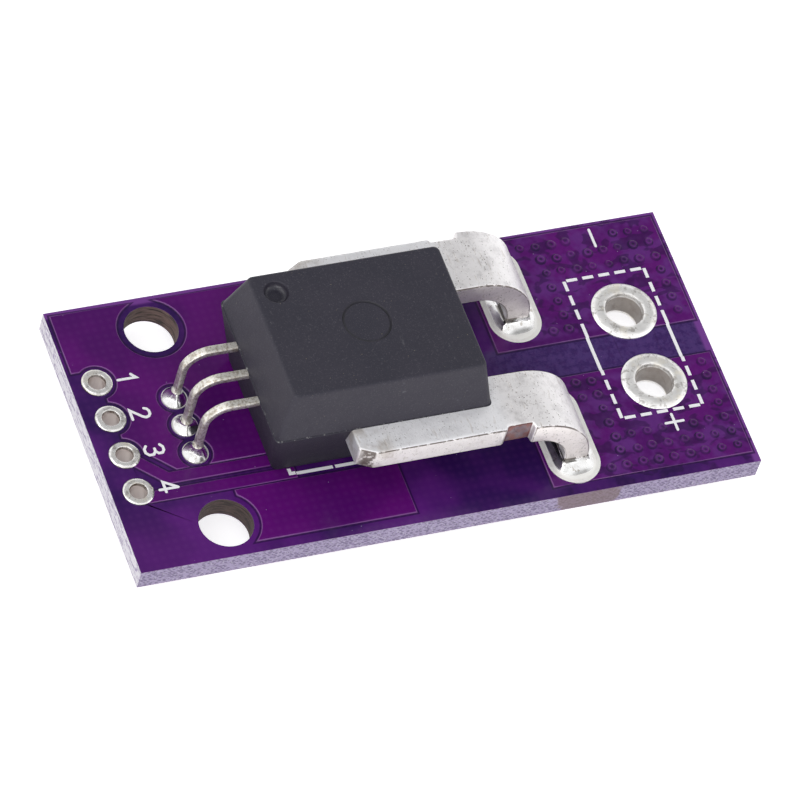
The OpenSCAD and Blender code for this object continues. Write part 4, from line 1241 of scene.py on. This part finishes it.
bend_places = [bend_x + bend_arc * i / BEND_SLICES for i in range(BEND_SLICES + 1)]
slice_across(conductor, 0, spread(wing_x, bend_x, 0.4 * MM) + bend_places)
slice_across(conductor, 0, spread(bend_x + bend_arc, tip_x, 0.5 * MM))
slice_across(conductor, 1, [way * y for way in (1, -1) for y in spread(TERM_GAP / 2, outer_y, 0.45 * MM)])
for vert in conductor.verts:
    vert.co.z += uneven(vert.co, 0.4, 0.015) * (0 if vert.co.z > PARTING_Z - 0.001 * MM else 1)
    vert.co.y += uneven(vert.co + Vector((9, 0, 0)) * MM, 0.4, 0.015) * (0 if abs(vert.co.y) > outer_y - 0.001 * MM else 1)
formed(conductor, bend_x, 1, plate_low, BEND_R, TERM_T)
make_piece("conductor_bar", conductor, terminal_finish, ["primary_conductor"], sharp=45)

# %% Stamp and form the signal leads
LEAD_T = 0.38 * MM
LEAD_W = 0.50 * MM
LEAD_BEND_R = 1.2 * MM
PAD_REACH = {1: 0.90 * MM, 2: 2.90 * MM, 3: 0.90 * MM}
LEAD_ROUND = 0.07 * MM
for number in SIGNALS:
    lead_low, lead_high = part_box(f"signal_lead_{number}")
    lead_y = centre(f"signal_solder_{number}").y
    pad_half = (lead_high.y - lead_low.y) / 2
    pad_x = lead_high.x - PAD_REACH[number]
    lead_bend_x = lead_low.x + LEAD_T + LEAD_BEND_R
    lead_plate_low = PARTING_Z - LEAD_T
    lead_leg = lead_plate_low - LEAD_BEND_R - lead_low.z
    lead_arc = (LEAD_BEND_R + LEAD_T / 2) * math.radians(90)
    lead_tip = lead_bend_x - lead_arc - lead_leg
    half = LEAD_W / 2
    lead_outline = [
        (lead_tip, lead_y - half),
        (pad_x, lead_y - half),
        (pad_x, lead_y - pad_half),
        (lead_high.x, lead_y - pad_half),
        (lead_high.x, lead_y + pad_half),
        (pad_x, lead_y + pad_half),
        (pad_x, lead_y + half),
        (lead_tip, lead_y + half),
    ]
    lead = stamped(lead_outline, lead_plate_low, PARTING_Z, LEAD_ROUND)
    slice_across(lead, 0, [lead_bend_x - lead_arc * i / 16 for i in range(17)])
    slice_across(lead, 0, spread(lead_bend_x, pad_x, 0.3 * MM))
    slice_across(lead, 0, spread(lead_tip, lead_bend_x - lead_arc, 0.5 * MM))
    formed(lead, lead_bend_x, -1, lead_plate_low, LEAD_BEND_R, LEAD_T)
    make_piece(f"formed_lead_{number}", lead, lead_finish, [f"signal_lead_{number}"], sharp=45)

# %% [markdown]
# ## Tinned lands
# Hot-air levelled tin pulls itself into a low ring round each hole, highest near the bore, and it
# never sets quite even. A closed profile is turned round the hole, and each point is lifted by a
# little noise, so that every land catches the light its own way.

# %% Turn the tinned lands
LAND_COUNT = 56


def tinned_barrel(name, bore_r, land_r, dome, wobble):
    """A plated hole with its two tin rings, as one closed skin."""
    middle = centre(name)
    low, high = mask_low_z, mask_top_z
    arch = [
        (0.00, -0.40),
        (0.02, 0.15),
        (0.08, 0.70),
        (0.20, 0.97),
        (0.40, 1.00),
        (0.62, 0.92),
        (0.80, 0.70),
        (0.93, 0.32),
        (1.00, 0.00),
    ]
    upper = [(bore_r + share * (land_r - bore_r), high + height * dome) for share, height in arch]
    wall_z = [low + dome + (high - low - 2 * dome) * i / 4 for i in range(1, 4)]
    wall = [(bore_r, z) for z in wall_z]
    lower = [(radius, low + high - z) for radius, z in reversed(upper)]
    profile = lower + wall + upper
    rings = []
    for radius, z in profile:
        ring = []
        for i in range(LAND_COUNT):
            angle = math.radians(360) * i / LAND_COUNT
            point = Vector((middle.x + radius * math.cos(angle), middle.y + radius * math.sin(angle), z))
            share = (radius - bore_r) / (land_r - bore_r)
            lift = uneven(point, 1.3, wobble) * math.sin(math.pi * min(max(share, 0), 1))
            point.z += lift if z > middle_z else -lift
            point.z = min(max(point.z, low - dome), high + dome)
            ring.append(point)
        rings.append(ring)
    make_piece(name.replace("barrel", "land"), loft(rings, closed=True), land_finish, [name])


HEADER_BORE = 0.5 * MM
WIRE_BORE = 1.1 * MM
for name in HEADER:
    land_half = half_size(name)
    tinned_barrel(name, HEADER_BORE, land_half.x, land_half.z - (mask_top_z - mask_low_z) / 2, 0.05)
for side in SIDES:
    name = "wire_barrel_" + side
    land_half = half_size(name)
    tinned_barrel(name, WIRE_BORE, land_half.x, land_half.z - (mask_top_z - mask_low_z) / 2, 0.10)

# %% [markdown]
# ## Solder
# Molten solder climbs the lead and sets in a hollow curve, steep at the lead and flat at the rim of
# the land. The signal joints are turned round the lead. The terminal joints blend from the long
# land to the leg of the terminal: along each ray from the middle the radius falls from one outline
# to the other while the height rises.

# %% Turn the signal joints
SIGNAL_HOLE = 0.45 * MM
SIGNAL_CLIMB = {1: 0.80 * MM, 2: 0.50 * MM, 3: 0.78 * MM}
SIGNAL_HOLLOW = 1.6
JOINT_STEPS = 10
for number in SIGNALS:
    name = f"signal_solder_{number}"
    joint_low, joint_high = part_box(name)
    middle = (joint_low + joint_high) / 2
    land_r = (joint_high.x - joint_low.x) / 2
    tip_r = 0.34 * MM
    climb = SIGNAL_CLIMB[number]
    drop = mask_low_z - joint_low.z
    meridian = []
    for i in range(JOINT_STEPS + 1):
        share = 1 - i / JOINT_STEPS
        meridian.append((tip_r + (land_r - tip_r) * (1 - share) ** SIGNAL_HOLLOW, mask_low_z - drop * share))
    meridian.append((SIGNAL_HOLE, mask_low_z))
    meridian.append((SIGNAL_HOLE, mask_top_z))
    for i in range(JOINT_STEPS + 1):
        share = i / JOINT_STEPS
        meridian.append((tip_r + (land_r - tip_r) * (1 - share) ** SIGNAL_HOLLOW, mask_top_z + climb * share))
    joint = turned(meridian, middle, count=40)
    for vert in joint.verts:
        away = Vector((vert.co.x - middle.x, vert.co.y - middle.y, 0))
        vert.co += away * noise.noise(vert.co / MM * 0.9 + Vector((number, 0, 0))) * 0.12
    make_piece(f"signal_joint_{number}", joint, solder_finish, [name], sharp=60)

# %% Pull the terminal joints
LEG_HALF = Vector((TERM_T / 2, (outer_y - TERM_GAP / 2) / 2))
SKIN = 0.06 * MM
SIDE_CLIMB = 0.72 * MM
END_CLIMB = 0.42 * MM
HOLLOW = 2.6
RING_COUNT = 72


def stadium_reach(angle, half_width, half_length):
    """Distance from the middle of a stadium along Y to its outline, at this angle from +X."""
    across = abs(math.cos(angle))
    along = abs(math.sin(angle))
    straight = half_length - half_width
    if across > 1e-9 and half_width / across * along <= straight:
        return half_width / across
    inner = straight * along
    return inner + math.sqrt(inner * inner - straight * straight + half_width * half_width)


def box_reach(angle, half):
    """Distance from the middle of a rectangle to its outline, at this angle from +X."""
    across = max(abs(math.cos(angle)), 1e-9)
    along = max(abs(math.sin(angle)), 1e-9)
    return min(half.x / across, half.y / along)


for side in SIDES:
    name = "terminal_solder_" + side
    joint_low, joint_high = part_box(name)
    middle = (joint_low + joint_high) / 2
    half_width = (joint_high.x - joint_low.x) / 2
    half_length = (joint_high.y - joint_low.y) / 2
    drop = mask_low_z - joint_low.z
    slot_half = half_size("slot_barrel_" + side)
    slot_half = Vector((slot_half.x - 0.56 * MM, slot_half.y - 0.56 * MM))
    angles = []
    for i in range(RING_COUNT):
        turn = math.radians(360) * i / RING_COUNT
        angles.append(math.atan2(math.sin(turn) * half_length, math.cos(turn) * half_width))

    def climb(angle):
        """How high the solder climbs the leg on this side."""
        sideways = abs(math.cos(angle))
        return END_CLIMB + (SIDE_CLIMB - END_CLIMB) * sideways

    def joint_ring(share, base, way):
        """The ring at this share of the climb, up or down from the face of the board."""
        ring = []
        for angle in angles:
            outer = stadium_reach(angle, half_width, half_length)
            inner = box_reach(angle, LEG_HALF) + SKIN
            reach = inner + (outer - inner) * (1 - share) ** HOLLOW
            flat = Vector((middle.x + reach * math.cos(angle), middle.y + reach * math.sin(angle), 0))
            rise = climb(angle) if way > 0 else drop
            ripple = uneven(flat, 0.6, 0.07) * math.sin(math.pi * share)
            flat.z = base + way * (rise * share + ripple)
            ring.append(flat)
        return ring

    def slot_ring(z):
        """The wall of the slot at this height."""
        ring = []
        for angle in angles:
            reach = stadium_reach(angle, slot_half.x, slot_half.y)
            ring.append(Vector((middle.x + reach * math.cos(angle), middle.y + reach * math.sin(angle), z)))
        return ring

    shares = [i / JOINT_STEPS for i in range(JOINT_STEPS + 1)]
    rings = [joint_ring(share, mask_low_z, -1) for share in reversed(shares)]
    rings += [slot_ring(mask_low_z), slot_ring(mask_top_z)]
    rings += [joint_ring(share, mask_top_z, 1) for share in shares]
    make_piece(f"terminal_joint_{side}", loft(rings), solder_finish, [name], sharp=60)

# %% [markdown]
# ## Vias in the power fields
# Rows of small vias join the upper and lower power fields. Under the mask each one is a low ring
# with a dimple in it. They repeat on a grid and only miss the lands, so this is work for Geometry
# Nodes: a grid of points, minus the points that lie too near a land, with one small dome on each.

# %% Build the via node tree
VIA_PITCH = 0.99 * MM
VIA_R = 0.25 * MM
VIA_HEIGHT = 0.05 * MM
VIA_SIDES = 12


def via_dome():
    """One via under its mask: a low ring with a dimple and a pooled foot, a few dozen faces."""
    profile = [(1.60, -0.05), (1.25, 0.16), (1.02, 0.30), (0.80, 0.90), (0.55, 0.95), (0.28, 0.30)]
    slump = Vector((-0.12, -0.16)) * MM
    rings = []
    for radius, height in profile:
        ring = []
        for i in range(VIA_SIDES):
            angle = math.radians(360) * i / VIA_SIDES
            x = VIA_R * radius * math.cos(angle) + slump.x * max(radius - 1, 0)
            y = VIA_R * radius * math.sin(angle) + slump.y * max(radius - 1, 0)
            ring.append(Vector((x, y, VIA_HEIGHT * height)))
        rings.append(ring)
    return loft(rings)


def socket(tree, name, kind, value, way="INPUT"):
    """A named input of a node tree with its first value."""
    made = tree.interface.new_socket(name, in_out=way, socket_type=kind)
    if value is not None:
        made.default_value = value
    return made


def build_via_tree():
    tree = bpy.data.node_groups.new("via_rows", "GeometryNodeTree")
    socket(tree, "Geometry", "NodeSocketGeometry", None, "OUTPUT")
    socket(tree, "Dome", "NodeSocketObject", None)
    socket(tree, "Field size", "NodeSocketVector", (0.01, 0.007, 0))
    socket(tree, "Field centre", "NodeSocketVector", (0, 0, 0))
    socket(tree, "Columns", "NodeSocketInt", 12)
    socket(tree, "Rows", "NodeSocketInt", 7)
    socket(tree, "Wire land", "NodeSocketVector", (0, 0, 0))
    socket(tree, "Wire land room", "NodeSocketFloat", 0.002)
    socket(tree, "Slot land", "NodeSocketVector", (0, 0, 0))
    socket(tree, "Slot land room", "NodeSocketFloat", 0.002)
    socket(tree, "Slot land run", "NodeSocketFloat", 0.002)
    socket(tree, "Frame centre", "NodeSocketVector", (0, 0, 0))
    socket(tree, "Frame half size", "NodeSocketVector", (0.002, 0.004, 0))
    socket(tree, "Frame room", "NodeSocketFloat", 0.0004)
    socket(tree, "Sign centre", "NodeSocketVector", (0, 0, 0))
    socket(tree, "Sign room", "NodeSocketFloat", 0.001)
    socket(tree, "Drift", "NodeSocketFloat", 0.00004)
    socket(tree, "Smallest", "NodeSocketFloat", 0.85)
    socket(tree, "Seed", "NodeSocketInt", 7)
    socket(tree, "Finish", "NodeSocketMaterial", None)
    given = add_node(tree, "NodeGroupInput").outputs
    result = add_node(tree, "NodeGroupOutput")

    def node(kind, **settings):
        return add_node(tree, kind, **settings)

    size = node("ShaderNodeSeparateXYZ")
    join(tree, size.inputs[0], given["Field size"])
    grid = node("GeometryNodeMeshGrid")
    join(tree, grid.inputs["Size X"], size.outputs[0])
    join(tree, grid.inputs["Size Y"], size.outputs[1])
    join(tree, grid.inputs["Vertices X"], given["Columns"])
    join(tree, grid.inputs["Vertices Y"], given["Rows"])
    drift = node("FunctionNodeRandomValue", data_type="FLOAT_VECTOR")
    centred = node("ShaderNodeCombineXYZ")
    join(tree, centred.inputs[0], given["Drift"])
    join(tree, centred.inputs[1], given["Drift"])
    join(tree, drift.inputs[1], centred.outputs[0])
    join(tree, drift.inputs["Seed"], given["Seed"])
    offset = node("ShaderNodeVectorMath", operation="ADD")
    join(tree, offset.inputs[0], drift.outputs[0])
    join(tree, offset.inputs[1], given["Field centre"])
    placed = node("GeometryNodeSetPosition")
    join(tree, placed.inputs["Geometry"], grid.outputs["Mesh"])
    join(tree, placed.inputs["Offset"], offset.outputs[0])
    place = node("GeometryNodeInputPosition").outputs[0]

    to_wire = node("ShaderNodeVectorMath", operation="DISTANCE")
    join(tree, to_wire.inputs[0], place)
    join(tree, to_wire.inputs[1], given["Wire land"])
    near_wire = node("FunctionNodeCompare", data_type="FLOAT", operation="LESS_THAN")
    join(tree, near_wire.inputs[0], to_wire.outputs["Value"])
    join(tree, near_wire.inputs[1], given["Wire land room"])

    # The distance to the slot is taken to its middle line, so the sideways and lengthways parts are split
    to_slot = node("ShaderNodeVectorMath", operation="SUBTRACT")
    join(tree, to_slot.inputs[0], place)
    join(tree, to_slot.inputs[1], given["Slot land"])
    parts = node("ShaderNodeSeparateXYZ")
    join(tree, parts.inputs[0], to_slot.outputs[0])
    length = node("ShaderNodeMath", operation="ABSOLUTE")
    join(tree, length.inputs[0], parts.outputs[1])
    past = node("ShaderNodeMath", operation="SUBTRACT")
    join(tree, past.inputs[0], length.outputs[0])
    join(tree, past.inputs[1], given["Slot land run"])
    beyond = node("ShaderNodeMath", operation="MAXIMUM")
    join(tree, beyond.inputs[0], past.outputs[0])
    join(tree, beyond.inputs[1], 0.0)
    flat = node("ShaderNodeCombineXYZ")
    join(tree, flat.inputs[0], parts.outputs[0])
    join(tree, flat.inputs[1], beyond.outputs[0])
    reach = node("ShaderNodeVectorMath", operation="LENGTH")
    join(tree, reach.inputs[0], flat.outputs[0])
    near_slot = node("FunctionNodeCompare", data_type="FLOAT", operation="LESS_THAN")
    join(tree, near_slot.inputs[0], reach.outputs["Value"])
    join(tree, near_slot.inputs[1], given["Slot land room"])

    # A via also keeps off the printed frame, a rectangle
    to_frame = node("ShaderNodeVectorMath", operation="SUBTRACT")
    join(tree, to_frame.inputs[0], place)
    join(tree, to_frame.inputs[1], given["Frame centre"])
    aside = node("ShaderNodeVectorMath", operation="ABSOLUTE")
    join(tree, aside.inputs[0], to_frame.outputs[0])
    outside = node("ShaderNodeVectorMath", operation="SUBTRACT")
    join(tree, outside.inputs[0], aside.outputs[0])
    join(tree, outside.inputs[1], given["Frame half size"])
    sides = node("ShaderNodeSeparateXYZ")
    join(tree, sides.inputs[0], outside.outputs[0])
    nearest = node("ShaderNodeMath", operation="MAXIMUM")
    join(tree, nearest.inputs[0], sides.outputs[0])
    join(tree, nearest.inputs[1], sides.outputs[1])
    from_frame = node("ShaderNodeMath", operation="ABSOLUTE")
    join(tree, from_frame.inputs[0], nearest.outputs[0])
    near_frame = node("FunctionNodeCompare", data_type="FLOAT", operation="LESS_THAN")
    join(tree, near_frame.inputs[0], from_frame.outputs[0])
    join(tree, near_frame.inputs[1], given["Frame room"])

    to_sign = node("ShaderNodeVectorMath", operation="DISTANCE")
    join(tree, to_sign.inputs[0], place)
    join(tree, to_sign.inputs[1], given["Sign centre"])
    near_sign = node("FunctionNodeCompare", data_type="FLOAT", operation="LESS_THAN")
    join(tree, near_sign.inputs[0], to_sign.outputs["Value"])
    join(tree, near_sign.inputs[1], given["Sign room"])

    near = near_wire
    for other in (near_slot, near_frame, near_sign):
        either = node("FunctionNodeBooleanMath", operation="OR")
        join(tree, either.inputs[0], near.outputs[0])
        join(tree, either.inputs[1], other.outputs[0])
        near = either
    kept = node("GeometryNodeDeleteGeometry", domain="POINT")
    join(tree, kept.inputs["Geometry"], placed.outputs[0])
    join(tree, kept.inputs["Selection"], near.outputs[0])
    shape = node("GeometryNodeObjectInfo")
    join(tree, shape.inputs["Object"], given["Dome"])
    spread_out = node("GeometryNodeInstanceOnPoints")
    join(tree, spread_out.inputs["Points"], kept.outputs[0])
    join(tree, spread_out.inputs["Instance"], shape.outputs["Geometry"])
    size_of_each = node("FunctionNodeRandomValue", data_type="FLOAT")
    join(tree, size_of_each.inputs[2], given["Smallest"])
    size_of_each.inputs[3].default_value = 1.05
    join(tree, size_of_each.inputs["Seed"], given["Seed"])
    join(tree, spread_out.inputs["Scale"], size_of_each.outputs[1])
    real = node("GeometryNodeRealizeInstances")
    join(tree, real.inputs[0], spread_out.outputs[0])
    painted = node("GeometryNodeSetMaterial")
    join(tree, painted.inputs["Geometry"], real.outputs[0])
    join(tree, painted.inputs["Material"], given["Finish"])
    join(tree, result.inputs[0], painted.outputs[0])
    return tree


via_tree = build_via_tree()
print("via tree has", len(via_tree.nodes), "nodes")

# %% Set the rows of vias
VIA_EDGE = 0.55 * MM
VIA_ROOM = 0.40 * MM
SLOT_ROOM = 0.52 * MM
FRAME_ROOM = 0.36 * MM
SIGN_AT = {"plus": (14.9 * MM, -5.5 * MM, 0), "minus": (14.7 * MM, 7.9 * MM, 0)}
SIGN_ROOM = 0.80 * MM
INK_WIDTH = 0.20 * MM
MASK_FLANK = 0.06 * MM
legend_low, legend_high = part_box("legend_lines")
frame_half = Vector((2.55, 4.95)) * MM
frame_middle = Vector((legend_high.x - INK_WIDTH / 2 - frame_half.x, legend_high.y - INK_WIDTH / 2 - frame_half.y))
via_shape = as_object("via_shape", via_dome())


def via_rows(side, upper):
    """The vias of one power field, seen on the upper or the lower face."""
    field_low, field_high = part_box("foil_top_" + side)
    sign = 1 if upper else -1
    flat_size = field_high - field_low
    columns = int((flat_size.x - 2 * VIA_EDGE) / VIA_PITCH) + 1
    rows = int((flat_size.y - VIA_EDGE) / VIA_PITCH) + 1
    wire = centre("wire_barrel_" + side)
    slot = centre("slot_barrel_" + side)
    slot_land = half_size("slot_barrel_" + side)
    level = mask_top_z if upper else mask_low_z
    host = as_object(f"via_rows_{side}", bmesh.new())
    rows_modifier = host.modifiers.new("rows", "NODES")
    rows_modifier.node_group = via_tree
    values = {
        "Dome": via_shape,
        "Field size": ((columns - 1) * VIA_PITCH, (rows - 1) * VIA_PITCH, 0),
        "Field centre": ((field_low.x + field_high.x) / 2, (field_low.y + field_high.y) / 2, 0),
        "Columns": columns,
        "Rows": rows,
        "Wire land": (wire.x, wire.y, 0),
        "Wire land room": half_size("wire_barrel_" + side).x + VIA_ROOM,
        "Slot land": (slot.x, slot.y, 0),
        "Slot land room": slot_land.x + SLOT_ROOM,
        "Slot land run": slot_land.y - slot_land.x,
        "Frame centre": (frame_middle.x, frame_middle.y, 0),
        "Frame half size": (frame_half.x, frame_half.y, 0),
        "Frame room": FRAME_ROOM if upper else 0.0,
        "Sign centre": SIGN_AT[side] if upper else (0, 0, 0),
        "Sign room": SIGN_ROOM if upper else 0.0,
        "Drift": 0.10 * MM,
        "Smallest": 0.82,
        "Seed": 11 if side == "plus" else 12,
        "Finish": mask_finish,
    }
    for item in via_tree.interface.items_tree:
        if item.in_out == "INPUT" and item.name in values:
            rows_modifier[item.identifier] = values[item.name]
    settle(host)
    made = bmesh.new()
    made.from_mesh(host.data)
    bpy.data.objects.remove(host)
    for vert in made.verts:
        vert.co.z = level + sign * vert.co.z
    bmesh.ops.recalc_face_normals(made, faces=made.faces)
    word = "top" if upper else "bottom"
    return make_piece(f"via_bumps_{word}_{side}", made, mask_finish, sharp=50)


for side in SIDES:
    for upper in (True, False):
        via_rows(side, upper)
bpy.data.objects.remove(via_shape)

# %% [markdown]
# ## Printed marks
# The header row has plain pin numbers and the wire lands have their signs. Board printers draw
# their numbers as single lines of one width, so each mark here is a few strokes, which turn their
# corners with a mitre and end round.

# %% Print the numbers and the signs
INK_T = 0.02 * MM
INK_STROKE = 0.16 * MM
NUMBER_HEIGHT = 1.10
NUMBER_X = -15.72
DIGITS = {
    1: [[(-0.16, 0.78), (0.08, 1.00), (0.08, 0.00)]],
    2: [
        [(-0.28, 0.78), (-0.22, 0.92), (-0.08, 1.00), (0.10, 1.00), (0.24, 0.90), (0.28, 0.74), (0.20, 0.56)],
        [(0.20, 0.56), (-0.28, 0.00), (0.30, 0.00)],
    ],
    3: [
        [(-0.26, 0.88), (-0.10, 1.00), (0.10, 1.00), (0.25, 0.88), (0.25, 0.68), (0.10, 0.54), (-0.06, 0.54)],
        [(0.10, 0.54), (0.28, 0.40), (0.28, 0.16), (0.12, 0.00), (-0.12, 0.00), (-0.28, 0.12)],
    ],
    4: [[(0.14, 0.00), (0.14, 1.00)], [(0.14, 1.00), (-0.30, 0.30), (0.32, 0.30)]],
}


def round_end(middle, along):
    """Points of a round stroke end, from its right side to its left."""
    across = Vector((-along.y, along.x, 0))
    angles = [math.radians(-90 + 180 * i / 8) for i in range(9)]
    return [middle + (math.cos(a) * along + math.sin(a) * across) * INK_STROKE / 2 for a in angles]


def print_strokes(strokes, level):
    """A bmesh of strokes, each a line through its points in mm, with mitred bends and round ends."""
    built = bmesh.new()
    for turn, stroke in enumerate(strokes):
        height = level + turn * 0.1 * INK_T
        points = [Vector((*point, 0)) * MM for point in stroke]
        ways = [(second - first).normalized() for first, second in zip(points, points[1:])]
        bends = []
        for point, way_in, way_out in zip(points[1:], ways, ways[1:]):
            middle_way = (way_in + way_out).normalized()
            across = Vector((-middle_way.y, middle_way.x, 0)) / middle_way.dot(way_in)
            bends.append((point - across * INK_STROKE / 2, point + across * INK_STROKE / 2))
        ring = [right for right, left in bends] + round_end(points[-1], ways[-1])
        ring += [left for right, left in reversed(bends)] + round_end(points[0], -ways[0])
        low = [built.verts.new((point.x, point.y, height)) for point in ring]
        high = [built.verts.new((point.x, point.y, height + INK_T)) for point in ring]
        count = len(ring)
        for i in range(count):
            j = (i + 1) % count
            built.faces.new((low[i], low[j], high[j], high[i]))
        built.faces.new(list(reversed(low)))
        built.faces.new(high)
    bmesh.ops.recalc_face_normals(built, faces=built.faces)
    return built


for number, name in enumerate(HEADER, start=1):
    strokes = [
        [(NUMBER_X + (v - 0.5) * NUMBER_HEIGHT, centre(name).y / MM - u * NUMBER_HEIGHT) for u, v in stroke]
        for stroke in DIGITS[number]
    ]
    mark = print_strokes(strokes, mask_top_z)
    make_piece(f"pin_number_{number}", mark, ink_finish)
SIGNS = {
    "sign_minus": [((14.70, 7.30), (14.70, 8.50))],
    "sign_plus": [((14.90, -6.05), (14.90, -4.95)), ((14.35, -5.50), (15.45, -5.50))],
}
for name, strokes in SIGNS.items():
    make_piece(name, print_strokes(strokes, mask_top_z), ink_finish)

# %% Drape the frame's long lines over the edges of the power fields
DRAPE_SKIN = 0.012 * MM
drape = bmesh.new()
for side_x in (frame_middle.x - frame_half.x, frame_middle.x + frame_half.x):
    for side in SIDES:
        field_low, field_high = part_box("foil_top_" + side)
        edge_y, out = (field_low.y, -1) if side == "minus" else (field_high.y, 1)
        edge_y += out * MASK_FLANK
        rows = []
        for lean, drop in [(-0.3, 0.0)] + [(lean, drop) for drop, lean in STEP_SHAPE] + [(1.3, 1.0)]:
            y = edge_y + out * MASK_LEAN * lean
            z = mask_top_z + (bare_z - mask_top_z) * drop + DRAPE_SKIN + INK_T / 2
            rows.append([drape.verts.new((side_x + way * INK_WIDTH / 2, y, z)) for way in (-1, 1)])
        for first, second in zip(rows, rows[1:]):
            drape.faces.new((first[0], first[1], second[1], second[0]))
for face in drape.faces:
    face.normal_update()
    if face.normal.z < 0:
        face.normal_flip()
make_piece("draped_ink", drape, ink_finish)
